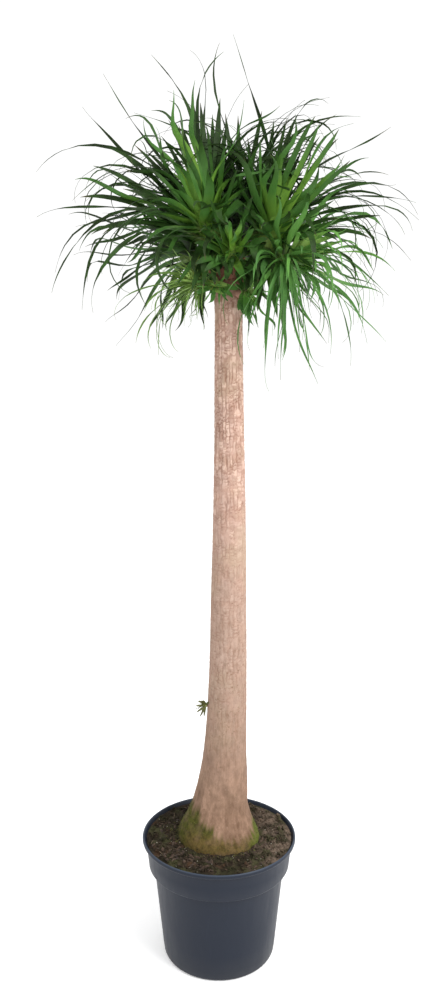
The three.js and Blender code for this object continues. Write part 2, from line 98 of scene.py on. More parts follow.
def new_material(name, **sockets):
    """A material whose Principled shader has these plain sockets. Returns it, its tree and the shader."""
    material = bpy.data.materials.new(name)
    material.use_nodes = True
    shader = material.node_tree.nodes["Principled BSDF"]
    for socket, value in sockets.items():
        shader.inputs[socket.replace("_", " ")].default_value = value
    return material, material.node_tree, shader


# Matt painted studio floor: a plain pale surface that gives a soft, even light back.
floor_paint, _, _ = new_material(
    "matt studio paint",
    Roughness=0.9,
    Base_Color=linear("#fbfbfb"),
    Emission_Color=(1, 1, 1, 1),
    Emission_Strength=0.2,
)
bpy.ops.mesh.primitive_circle_add(vertices=96, radius=60, fill_type="NGON", location=(0, 0, -0.0005))
floor = bpy.context.object
floor.name = "floor"
floor.data.materials.append(floor_paint)

# The pot: a thin injection-moulded nursery pot with a rolled lip, a deep stacking collar and a step under it.
# It stands on a flat foot ring and a flat middle, and eight holes drain the raised channel between them.

POT_PROFILE = [
    [78, 0], [79.5, 0.6], [82, 5], [112, 5], [114.5, 0.6], [116, 0], [139, 0], [143, 0.8], [145.6, 3],
    [147.4, 7], [150, 26], [160, 121], [171.6, 231], [173, 236.4], [175, 238.4], [182.5, 240.4],
    [184.6, 241.4], [186.4, 244.4], [189.8, 276], [193.2, 304.6], [194, 307], [195, 308.6], [200.4, 309.4],
    [202.2, 310.8], [203, 313.4], [203, 317], [202.4, 319.4], [201, 320.8], [199.4, 320.9], [198.2, 319.8],
    [196.4, 315.6], [191.8, 310.4], [187.4, 277], [183.6, 245], [170.6, 239], [145.6, 7], [142, 3],
    [118, 3], [114, 8], [80, 8], [76, 3],
]  # fmt: skip
LIP_FOOT = 0.3072  # the height in metres where the lip meets the collar
DRAIN_HOLES = 8
DRAIN_REACH = 0.097  # from the middle of the pot to the middle of a hole


def turned(name, profile, sides):
    """Turns a closed shell: extrudes a ring from corner to corner of a profile of [radius, height] in mm."""
    radius, height = profile[0]
    bpy.ops.mesh.primitive_circle_add(vertices=sides, radius=radius / 1000)
    shell = bpy.context.object
    shell.name = name
    bpy.ops.object.mode_set(mode="EDIT")
    bpy.ops.mesh.select_all(action="SELECT")
    bpy.ops.transform.translate(value=(0, 0, height / 1000))
    for next_radius, next_height in profile[1:]:
        step = (0, 0, (next_height - height) / 1000)
        bpy.ops.mesh.extrude_edges_move(TRANSFORM_OT_translate={"value": step})
        share = next_radius / radius
        middle = (0, 0, next_height / 1000)
        bpy.ops.transform.resize(value=(share, share, 1), center_override=middle)
        radius, height = next_radius, next_height
    bpy.ops.mesh.select_all(action="SELECT")
    bpy.ops.mesh.fill_holes(sides=0)
    bpy.ops.mesh.normals_make_consistent(inside=False)
    bpy.ops.object.mode_set(mode="OBJECT")
    return shell


def shade_smooth(piece, angle):
    """Shades a piece smooth, but for edges sharper than an angle in degrees."""
    bpy.ops.object.select_all(action="DESELECT")
    piece.select_set(True)
    bpy.ops.object.shade_smooth_by_angle(angle=math.radians(angle))


def finish(piece, material, slot, *replaced):
    """Gives a finished piece its material and its place in the frame."""
    piece.data.materials.clear()
    piece.data.materials.append(material)
    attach(piece, "root")
    if replaced:
        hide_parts(*replaced)


pot = turned("moulded_pot", POT_PROFILE, 144)
for i in range(DRAIN_HOLES):
    angle = 2 * math.pi * (i + 0.5) / DRAIN_HOLES
    centre = (DRAIN_REACH * math.cos(angle), DRAIN_REACH * math.sin(angle), 0.006)
    bpy.ops.mesh.primitive_cylinder_add(vertices=24, radius=0.007, depth=0.03, location=centre)
    drill = bpy.context.object
    bore = pot.modifiers.new("drain", "BOOLEAN")
    bore.object = drill
    bpy.context.view_layer.objects.active = pot
    bpy.ops.object.modifier_apply(modifier="drain")
    bpy.data.objects.remove(drill)
shade_smooth(pot, 38)


def add_node(tree, kind, inputs=None, out=0, **settings):
    """Adds a node with its settings and links, and gives the socket that it puts out. An input, named or
    numbered, is a plain value, an sRGB colour or a socket."""
    node = tree.nodes.new("ShaderNode" + kind)
    for name, value in settings.items():
        setattr(node, name, value)
    for name, value in (inputs or {}).items():
        if isinstance(value, bpy.types.NodeSocket):
            tree.links.new(value, node.inputs[name])
        else:
            node.inputs[name].default_value = linear(value) if isinstance(value, str) else value
    return node.outputs[out]


def stained(tree, tone, stains):
    """Lays stains over a tone. Each is (value, start, full, strength, colour): it grows up to its strength as
    the value goes from start to full."""
    for value, start, full, strength, colour in stains:
        bounds = {"From Min": start, "From Max": full, "To Max": strength}
        share = add_node(tree, "MapRange", {"Value": value, **bounds})
        tone = add_node(tree, "Mix", {0: share, 6: tone, 7: colour}, 2, data_type="RGBA")
    return tone


# Polypropylene, injection moulded and coloured through: a dark blue grey with a satin skin. It has faint
# upright marks about 18 mm wide, rubbed by stacking, and a little pale dust low on the wall. A pale band
# round the top of the lip is a painted highlight, and a dark line under the lip is painted shade. Its fine
# moulded grain is drawn 2.4 mm wide, so that it shows.
polypropylene, tree, shader = new_material("moulded satin polypropylene", IOR=1.49, Specular_IOR_Level=0.2)
place = add_node(tree, "TexCoord", out="Object")
level = add_node(tree, "SeparateXYZ", {"Vector": place}, "Z")
stretched = add_node(tree, "Mapping", {"Vector": place, "Scale": (1, 1, 0.12)})
rub = add_node(tree, "TexNoise", {"Vector": stretched, "Scale": 55, "Detail": 6, "Roughness": 0.7})
cloud = add_node(tree, "TexNoise", {"Vector": place, "Scale": 9, "Detail": 4})
low_wall = add_node(tree, "MapRange", {"Value": level, "From Min": 0.07, "From Max": 0.0, "To Max": 0.5})
dust = add_node(tree, "Math", {0: low_wall, 1: cloud}, operation="MULTIPLY")
# how far from the foot of the lip, for a line of painted shade under it
off_line = add_node(tree, "Math", {0: level, 1: LIP_FOOT}, operation="SUBTRACT")
from_line = add_node(tree, "Math", {0: off_line}, operation="ABSOLUTE")
plastic = stained(tree, "#1a202c", (
    (rub, 0.56, 0.8, 0.4, "#2a313d"),
    (dust, 0, 1, 1, "#414140"),
    # painted highlight: a pale band along the top of the lip
    (level, 0.3175, 0.3205, 0.8, "#3d4654"),
    # painted shade: a dark line in the groove under the overhanging lip
    (from_line, 0.0034, 0.001, 0.8, "#0d1015"),
))  # fmt: skip
tree.links.new(plastic, shader.inputs["Base Color"])
skin_range = {"From Min": 0.3, "From Max": 0.8, "To Min": 0.38, "To Max": 0.56}
skin = add_node(tree, "MapRange", {"Value": rub, **skin_range})
tree.links.new(skin, shader.inputs["Roughness"])
grain = add_node(tree, "TexNoise", {"Vector": place, "Scale": 420, "Detail": 2})
bump = add_node(tree, "Bump", {"Height": grain, "Strength": 0.12, "Distance": 0.0006})
tree.links.new(bump, shader.inputs["Normal"])
finish(pot, polypropylene, "pot_plastic", "pot")

# The soil: a root ball of moist peat that fills the pot. Its top is settled and crumbly, a little higher
# against the stem, with loose clods, bark chips, pale perlite and a green film where it stays wet.

SOIL_LEVEL = 312
SOIL_OUTER = 192
SOIL_INNER = 98  # just inside the foot of the stem
STEM_EDGE = 107
SOIL_RINGS = 56
SOIL_PROFILE = [
    [75.6, 3.4], [79.6, 8.4], [114.4, 8.4], [118.4, 3.4], [141.5, 3.4], [145.2, 7.5], [170.2, 239.4],
    [183.2, 245.4], [191, 309.2], [192, 311.2],
]  # fmt: skip


def crumbs(x, y):
    """The slow waves of the soil's top, in millimetres."""
    coarse = math.sin(x / 17 + 2.1 * math.sin(y / 23))
    fine = math.sin(y / 11 + 1.7 * math.sin(x / 13))
    return (coarse + fine) / 2


def soil_height(x, y):
    """The height of the soil's top at a place, in metres."""
    reach = math.hypot(x, y) * 1000
    share = min(1, max(0, (SOIL_OUTER - reach) / (SOIL_OUTER - STEM_EDGE)))
    edge = min(1, max(0, (SOIL_OUTER - reach) / 8))
    spot = Vector((x, y, 0))
    rough = (
        5.0 * noise.noise(spot * 50)
        + 3.4 * noise.noise(spot * 120 + Vector((3, 1, 0)))
        + 1.9 * noise.noise(spot * 290 + Vector((7, 5, 0)))
    )
    return (SOIL_LEVEL + 4 * share + edge * (2.2 * crumbs(x * 1000, y * 1000) + rough)) / 1000


for k in range(1, SOIL_RINGS + 1):
    SOIL_PROFILE.append([SOIL_OUTER + (SOIL_INNER - SOIL_OUTER) * k / SOIL_RINGS, SOIL_LEVEL + 2])
soil = turned("root_ball", SOIL_PROFILE, 224)
for vertex in soil.data.vertices:
    if vertex.co.z > 0.31:
        vertex.co.z = soil_height(vertex.co.x, vertex.co.y)
shade_smooth(soil, 50)

# Peat, sieved and watered: near-black where moist, reddish or greyer where it has dried, most of all at the
# right, with a thin green film in patches of about 45 mm. Its crumbs are 3 to 7 mm.
peat, tree, shader = new_material("moist peat", Roughness=0.93, Specular_IOR_Level=0.12)
place = add_node(tree, "TexCoord", out="Object")
to_right = add_node(tree, "SeparateXYZ", {"Vector": place}, "X")
patch = add_node(tree, "TexNoise", {"Vector": place, "Scale": 22, "Detail": 4, "Roughness": 0.6})
wet = add_node(tree, "TexNoise", {"Vector": place, "Scale": 30, "Detail": 2})
crumb = add_node(tree, "TexVoronoi", {"Vector": place, "Scale": 150, "Randomness": 1})
speck = add_node(tree, "TexNoise", {"Vector": place, "Scale": 330, "Detail": 4, "Roughness": 0.8})
on_right = add_node(tree, "MapRange", {"Value": to_right, "From Min": 0.06, "From Max": 0.15, "To Max": 0.85})
clump = add_node(tree, "MapRange", {"Value": patch, "From Min": 0.56, "From Max": 0.42, "To Min": 0.12})
dry_right = add_node(tree, "Math", {0: on_right, 1: clump}, operation="MULTIPLY")
soil_tone = stained(tree, "#3e3428", (
    (crumb, 0, 1, 1, "#1f1a14"),
    (patch, 0.45, 0.36, 0.8, "#4a3627"),
    (patch, 0.48, 0.6, 0.8, "#3f4028"),
    (speck, 0.54, 0.76, 0.7, "#645a4c"),
    (wet, 0.48, 0.58, 0.5, "#1b1711"),
    (dry_right, 0, 1, 1, "#7a6a5c"),
))  # fmt: skip
tree.links.new(soil_tone, shader.inputs["Base Color"])
bump = add_node(tree, "Bump", {"Height": speck, "Strength": 0.7, "Distance": 0.002})
tree.links.new(bump, shader.inputs["Normal"])
finish(soil, peat, "potting_soil", "soil")


def mesh_data(piece):
    """A piece's corners as rows of a numpy array, and its faces as lists of corner numbers."""
    corners = np.array([v.co[:] for v in piece.data.vertices])
    return corners, [list(p.vertices) for p in piece.data.polygons]


def new_piece(name, corners, faces):
    """A piece made of arrays of corners and a list of faces, put in the scene."""
    mesh = bpy.data.meshes.new(name)
    mesh.from_pydata(np.concatenate(corners).tolist(), [], faces)
    piece = bpy.data.objects.new(name, mesh)
    bpy.context.scene.collection.objects.link(piece)
    return piece


def copies_of(blank, name, places):
    """One piece of many copies of a blank, each with its own mesh. A place is (position, turn, stretch)."""
    corners, faces = mesh_data(blank)
    all_corners, all_faces = [], []
    for position, turn, stretch in places:
        start = len(all_corners) * len(corners)
        turned_corners = (corners * np.array(stretch)) @ np.array(turn.to_matrix()).T
        all_corners.append(turned_corners + np.array(position))
        all_faces += [[start + i for i in face] for face in faces]
    bpy.data.objects.remove(blank)
    return new_piece(name, all_corners, all_faces)


def lump(seed, roughness):
    """A rough little stone of unit size, from an icosphere."""
    bpy.ops.mesh.primitive_ico_sphere_add(subdivisions=2, radius=0.5)
    blank = bpy.context.object
    for vertex in blank.data.vertices:
        vertex.co *= 1 + roughness * noise.noise(vertex.co * 3 + Vector((seed, 0, 0)))
    return blank


def random_turn(rng):
    """A turn to any side."""
    return Euler([rng.uniform(0, 2 * math.pi) for _ in range(3)]).to_quaternion()


def soil_spots(rng, count, low=112, high=186, bearing=(0, 360)):
    """Random places on the soil's top, in metres, evenly over the ring from low to high in mm."""
    spots = []
    while len(spots) < count:
        reach = math.sqrt(rng.uniform(low**2, high**2)) / 1000
        angle = math.radians(rng.uniform(*bearing))
        x, y = reach * math.cos(angle), reach * math.sin(angle)
        spots.append(Vector((x, y, soil_height(x, y))))
    return spots


rng = random.Random(5)
clod_places = []
for count, smallest, largest, bearing in (
    (620, 0.003, 0.008, (0, 360)),
    (120, 0.008, 0.014, (0, 360)),
    (50, 0.01, 0.017, (-50, 45)),
):
    for spot in soil_spots(rng, count, bearing=bearing):
        size = rng.uniform(smallest, largest)
        stretch = [size * rng.uniform(0.7, 1.2) for _ in range(3)]
        clod_places.append((spot, random_turn(rng), stretch))
clods = copies_of(lump(1, 1.1), "peat_clods", clod_places)
finish(clods, peat, "potting_soil")

# Composted bark: flat chips, reddish brown and matt, most of them front left.
bark_chip, tree, shader = new_material("composted bark chips", Roughness=0.85)
place = add_node(tree, "TexCoord", out="Object")
shade = add_node(tree, "TexNoise", {"Vector": place, "Scale": 70, "Detail": 3})
chip_tone = stained(tree, "#2c2119", [(shade, 0.35, 0.65, 1, "#4c3a2c")])
tree.links.new(chip_tone, shader.inputs["Base Color"])
chip_places = []
for spot in soil_spots(rng, 120) + soil_spots(rng, 70, 118, 175, (205, 265)):
    length = rng.uniform(0.006, 0.014)
    lie = Euler((rng.gauss(0, 0.3), rng.gauss(0, 0.3), rng.uniform(0, 6.28))).to_quaternion()
    chip_places.append((spot + Vector((0, 0, 0.0015)), lie, (length, 0.55 * length, 0.28 * length)))
chips = copies_of(lump(4, 0.8), "bark_chips", chip_places)
finish(chips, bark_chip, "potting_soil")

# Perlite: puffed volcanic glass in white, dusty grains.
perlite, _, _ = new_material("perlite grains", Roughness=0.8, Base_Color=linear("#8f897c"))
grain_places = []
for spot in soil_spots(rng, 90):
    size = rng.uniform(0.0012, 0.003)
    grain_places.append((spot + Vector((0, 0, 0.001)), random_turn(rng), (size, size, size)))
grains = copies_of(lump(9, 0.5), "perlite_grains", grain_places)
finish(grains, perlite, "potting_soil")

# Fine roots and straw that lie on the soil: thin, pale and dry.
straw, _, _ = new_material("dry straw and roots", Roughness=0.8, Base_Color=linear("#6a5b47"))
bpy.ops.mesh.primitive_cylinder_add(vertices=5, radius=0.5, depth=1)
straw_blank = bpy.context.object
twig_places = []
for spot in soil_spots(rng, 36):
    lie = Euler((math.radians(90) + rng.gauss(0, 0.15), 0, rng.uniform(0, 6.28))).to_quaternion()
    thick = rng.uniform(0.0007, 0.0013)
    twig_places.append((spot + Vector((0, 0, 0.0016)), lie, (thick, thick, rng.uniform(0.008, 0.026))))
twigs = copies_of(straw_blank, "straw_bits", twig_places)
finish(twigs, straw, "potting_soil")

# The stem: a woody trunk wrapped in a thick corky bark. As it grows the bark splits into upright rows of
# small plates, with open cracks between them. Low down the rows fade into a smooth swollen foot, green with
# moss at the soil. Each station has a height, the radius there and how far the middle lies to +X, in mm.

STEM_STATIONS = np.array([
    [252, 100, 0], [315, 106.6, 0], [321, 105.5, -1], [337, 101, -3], [355, 93, -3], [376, 84, -1],
    [402, 75, 2], [436, 69, 6], [480, 63.5, 11], [545, 56.5, 15.5], [620, 52.5, 19], [720, 49.5, 22],
    [840, 47, 24], [960, 45.2, 24.6], [1085, 43, 26], [1213, 40.5, 26.5], [1340, 38, 26], [1464, 36.2, 25],
    [1588, 34.8, 24], [1670, 34.5, 24], [1726, 36.5, 25], [1752, 35, 26], [1768, 27, 27], [1776, 14, 27],
])  # fmt: skip
STEM_FOOT, STEM_TOP = STEM_STATIONS[0, 0], STEM_STATIONS[-1, 0]
BARK_ROWS = 24  # upright rows of plates round the trunk, each about 12 mm wide
PLATE_LENGTH = np.array([[252, 40], [420, 26], [620, 13], [900, 9], [1300, 9], [1776, 10]])


def smoothstep(value, low, high):
    """0 below low, 1 above high, with a soft change between."""
    share = np.clip((value - low) / (high - low), 0, 1)
    return share * share * (3 - 2 * share)


def hashed(a, b):
    """A fixed random share for each pair of whole numbers."""
    value = np.sin(a * 127.1 + b * 311.7) * 43758.5453
    return value - np.floor(value)


def noise_rows(points, scale, shift):
    """Smooth noise from -1 to 1 at many points."""
    return np.array([noise.noise(Vector(p * scale) + Vector(shift)) for p in points])


def smooth_between(heights, column):
    """A stem measure at each height: the stations' values on a smooth curve."""
    table = STEM_STATIONS
    slopes = np.gradient(table[:, column], table[:, 0])
    index = np.clip(np.searchsorted(table[:, 0], heights) - 1, 0, len(table) - 2)
    z0, z1 = table[index, 0], table[index + 1, 0]
    t = np.clip((heights - z0) / (z1 - z0), 0, 1)
    v0, v1 = table[index, column], table[index + 1, column]
    m0, m1 = slopes[index] * (z1 - z0), slopes[index + 1] * (z1 - z0)
    return (
        (2 * t**3 - 3 * t**2 + 1) * v0
        + (t**3 - 2 * t**2 + t) * m0
        + (3 * t**2 - 2 * t**3) * v1
        + (t**3 - t**2) * m1
    )


def bark_sheet(name, across, up):
    """A flat sheet to wrap round something. Returns it and its share across and up at each corner."""
    bpy.ops.mesh.primitive_grid_add(x_subdivisions=across, y_subdivisions=up, size=1)
    sheet = bpy.context.object
    sheet.name = name
    flat, _ = mesh_data(sheet)
    return sheet, flat[:, 0] + 0.5, flat[:, 1] + 0.5


def close_tube(sheet, gap):
    """Joins a wrapped sheet's seam across a gap, closes its ends and turns its faces out."""
    bpy.ops.object.mode_set(mode="EDIT")
    bpy.ops.mesh.select_all(action="SELECT")
    bpy.ops.mesh.remove_doubles(threshold=gap)
    bpy.ops.mesh.fill_holes(sides=0)
    bpy.ops.mesh.normals_make_consistent(inside=False)
    bpy.ops.object.mode_set(mode="OBJECT")
    bpy.ops.object.shade_smooth()


def give_values(piece, **rows):
    """Gives each corner of a piece its values, one row for each name, for the material to read."""
    for name, row in rows.items():
        attribute = piece.data.attributes.new(name, "FLOAT", "POINT")
        attribute.data.foreach_set("value", row.astype(np.float32))


# A flat sheet of bark is wrapped round the trunk's own shape, and its seam is joined.
trunk, across, up = bark_sheet("trunk", 156, 620)
theta = across * 2 * np.pi - np.pi / 2
height = STEM_FOOT + up * (STEM_TOP - STEM_FOOT)
radius = smooth_between(height, 1)
shift = smooth_between(height, 2)
depth = 0.96 + 0.04 * smoothstep(height, 350, 500)
ring = np.stack([np.cos(theta), np.sin(theta), height / 400], 1)
skin = np.stack([np.cos(theta), np.sin(theta), height / 50], 1)

# Rows: their edges wander, and here and there two rows run together.
row_at = (
    BARK_ROWS * theta / (2 * np.pi)
    + 0.5 * noise_rows(ring, 3.2, (0, 0, 0))
    + 0.36 * noise_rows(skin, 2.2, (5, 0, 0))
    + 0.22 * noise_rows(skin, 6, (5, 5, 0))
)
row = np.floor(row_at) % BARK_ROWS
in_row = row_at - np.floor(row_at)
row_width = 2 * np.pi * radius / BARK_ROWS
to_side = np.minimum(in_row, 1 - in_row) * row_width

# Plates: each row is cut across at its own uneven heights.
plate_steps = np.linspace(STEM_FOOT, STEM_TOP, 800)
plates_passed = np.cumsum(np.diff(plate_steps) / np.interp(plate_steps[1:], *PLATE_LENGTH.T))
plate_count = np.concatenate([[0], plates_passed])
plate_length = np.interp(height, *PLATE_LENGTH.T)
plate_at = (
    np.interp(height, plate_steps, plate_count)
    + 9 * hashed(row, 3)
    + 0.55 * noise_rows(skin, 4, (2, 4, 0))
    + 0.3 * noise_rows(skin, 9, (2, 8, 0))
)
plate = np.floor(plate_at)
to_end = np.full(len(plate_at), 9.0)
for k in (-1, 0, 1, 2):
    cut = plate + k + 0.62 * (hashed(row, plate + k) - 0.5)
    to_end = np.minimum(to_end, np.abs(plate_at - cut) * plate_length)
plate_id = np.floor(plate_at + 0.31 - 0.62 * (hashed(row, plate) - 0.5))

upper = smoothstep(height, 380, 760)
top = smoothstep(height, 1000, 1450)
open_side = 0.25 + 0.75 * smoothstep(noise_rows(skin, 1.6, (1, 9, 3)), -0.45, 0.35)
open_end = smoothstep(noise_rows(skin, 2, (8, 2, 1)), -0.5, 0.35)
side_crack = np.exp(-((to_side / 1.4) ** 2)) * open_side * (0.08 + 0.37 * upper + 0.4 * top)
end_crack = np.exp(-((to_end / 1.4) ** 2)) * open_end * (0.04 + 0.46 * upper + 0.4 * top)
crack = np.clip(np.maximum(side_crack, end_crack), 0, 1)
streaks = noise_rows(ring * np.array([1, 1, 0.2]), 13, (4, 4, 4))
bare_patch = np.exp(-(((theta - 4.2) / 0.22) ** 2) - ((height - 431) / 19) ** 2)
bulge = np.clip(to_side / (0.5 * row_width), 0, 1) ** 0.6
relief = (
    upper * (0.5 * bulge + 0.8 * (hashed(row, plate_id + 17) - 0.5) * (0.4 + 0.6 * top))
    - 1.5 * crack
    + 0.5 * noise_rows(skin, 5, (6, 1, 0))
    + (1 - upper) * (0.35 * streaks + 0.9 * noise_rows(skin, 2.4, (6, 6, 0)))
)
relief *= 1 - smoothstep(height, 1745, 1774)

# Moss: the left of the foot is green up to a hand above the soil, the right only at its edge. In front it
# is a low ochre band, and bare bark comes down to the soil on the front right. Each row has the degrees from
# +X and how high the moss reaches.
MOSS_REACH = np.array([
    [-90, 350], [-60, 337], [-25, 332], [0, 362], [30, 352], [90, 362], [150, 395], [180, 416], [215, 402],
    [245, 378], [270, 350],
])  # fmt: skip
moss_top = (
    np.interp(np.degrees(theta), *MOSS_REACH.T)
    + 12 * noise_rows(ring, 5, (3, 3, 3))
    + 18 * noise_rows(ring * np.array([1, 1, 0.3]), 15, (9, 3, 3))
)
moss = smoothstep(moss_top - height, -20, 10)
moss *= 0.8 + 0.2 * smoothstep(noise_rows(skin, 4, (0, 7, 7)), -0.4, 0.2)
ochre = smoothstep(-np.sin(theta), 0.35, 0.85) * smoothstep(372 - height, 0, 34)
relief += moss * (1.2 + 1.4 * noise_rows(ring, 24, (1, 1, 8)))

reach = radius + relief
wrapped = np.stack([shift + reach * np.cos(theta), depth * reach * np.sin(theta), height], 1) / 1000
trunk.data.vertices.foreach_set("co", wrapped.ravel())
give_values(
    trunk,
    crack=crack,
    moss=moss,
    plate_tone=0.5 + (hashed(row, plate_id) - 0.5) * (0.15 + 0.35 * upper + 0.5 * top),
    streak=0.5 + 0.3 * streaks + 0.8 * bare_patch,
    ochre=ochre,
)
close_tube(trunk, 0.00005)

# Corky bark: dry, matt plates in pinkish tan, some of them pale and some tinted green by algae, with brown
# cracks and fine fissures of 1 to 3 mm. The lower half is browner, with upright dashes about 7 mm wide and
# small dark ticks where plates have come off. The top is red brown, partly its scar and partly painted shade
# under the crown, and the foot is blotched brown. Moss covers the foot in olive, ochre in front and yellow
# green at the right edge.
cork, tree, shader = new_material("corky split bark", Roughness=0.9, Specular_IOR_Level=0.14)
place = add_node(tree, "TexCoord", out="Object")
level = add_node(tree, "SeparateXYZ", {"Vector": place}, "Z")
to_right = add_node(tree, "SeparateXYZ", {"Vector": place}, "X")
upright = add_node(tree, "Mapping", {"Vector": place, "Scale": (1, 1, 0.22)})
down_foot = add_node(tree, "Mapping", {"Vector": place, "Scale": (1, 1, 0.55)})
blotch, tint, fissure, cork_grain, dash, tick, foot_blotch, moss_grain = (
    add_node(tree, "TexNoise", {"Vector": vector, "Scale": scale, "Detail": detail, "Roughness": rough})
    for vector, scale, detail, rough in (
        (place, 24, 4, 0.6),  # 42 mm
        (place, 8, 4, 0.6),  # 125 mm
        (upright, 420, 5, 0.75),  # 2.4 mm across and 11 mm up
        (place, 260, 4, 0.7),  # 4 mm
        (upright, 150, 4, 0.7),  # 7 mm across and 30 mm up
        (place, 130, 4, 0.7),  # 8 mm
        (down_foot, 42, 5, 0.7),  # 24 mm across and 43 mm up
        (place, 75, 5, 0.7),  # 13 mm
    )
)
crack_at, moss_at, tone_at, streak_at, ochre_at = (
    add_node(tree, "Attribute", out="Fac", attribute_name=name)
    for name in ("crack", "moss", "plate_tone", "streak", "ochre")
)
low_down, lower_half = (
    add_node(
        tree,
        "MapRange",
        {"Value": level, "From Min": start, "From Max": full},
        interpolation_type="SMOOTHSTEP",
    )
    for start, full in ((0.85, 0.33), (1.25, 0.85))
)
foot_ramp = add_node(tree, "MapRange", {"Value": foot_blotch, "From Min": 0.34, "From Max": 0.66})
foot_light = add_node(tree, "Math", {0: foot_ramp, 1: streak_at}, operation="ADD")
foot_tone = stained(tree, "#584130", [(foot_light, 0.3, 1.7, 1, "#9a7c68")])
dashes = add_node(tree, "MapRange", {"Value": dash, "From Min": 0.48, "From Max": 0.7, "To Max": 0.5})
ticks = add_node(tree, "MapRange", {"Value": tick, "From Min": 0.57, "From Max": 0.68, "To Max": 0.9})
marks = add_node(tree, "Math", {0: dashes, 1: ticks}, operation="MAXIMUM")
low_marks = add_node(tree, "Math", {0: marks, 1: lower_half}, operation="MULTIPLY")
front_moss = stained(tree, "#3a3018", [(moss_grain, 0.3, 0.62, 1, "#6b5a32")])
foot_moss = stained(tree, "#27290c", (
    (moss_grain, 0.3, 0.62, 1, "#50501f"),
    (ochre_at, 0, 1, 1, front_moss),
    (to_right, 0.07, 0.1, 0.85, "#5c6628"),
))  # fmt: skip
bark_tone = stained(tree, "#96786a", (
    (tone_at, 0, 1, 1, "#c0a497"),
    (blotch, 0.42, 0.68, 0.6, "#b59281"),
    (tint, 0.48, 0.64, 0.4, "#a99880"),
    (lower_half, 0, 1, 0.3, "#827766"),
    (low_down, 0, 1, 1, foot_tone),
    (low_marks, 0, 1, 1, "#6e5745"),
    (fissure, 0.52, 0.74, 0.55, "#7d5f4d"),
    (tone_at, 0.7, 0.98, 0.5, "#d2b7a5"),
    (cork_grain, 0.58, 0.78, 0.3, "#d3b8a6"),
    (crack_at, 0.05, 0.9, 0.85, "#785542"),
    # the top of the trunk and the necks: red brown for the scar, and painted shade under the crown
    (level, 1.69, 1.75, 0.8, "#7f5240"),
    (moss_at, 0, 1, 1, foot_moss),
))  # fmt: skip
tree.links.new(bark_tone, shader.inputs["Base Color"])
roughness = add_node(tree, "Math", {0: fissure, 1: cork_grain}, operation="SUBTRACT")
bump = add_node(tree, "Bump", {"Height": roughness, "Strength": 0.5, "Distance": 0.0012}, invert=True)
tree.links.new(bump, shader.inputs["Normal"])
finish(trunk, cork, "bark", "stem")

# The heads of leaves. Each grows on a neck at the top of the trunk. Leaf bases wrap a short core, and from
# it stand narrow leathery straps that are channelled at the base, taper to a thread, arch over and hang.
# A stray is one of the long leaves that shape the outline: bearing, rise, fall, lateness, length and curl.

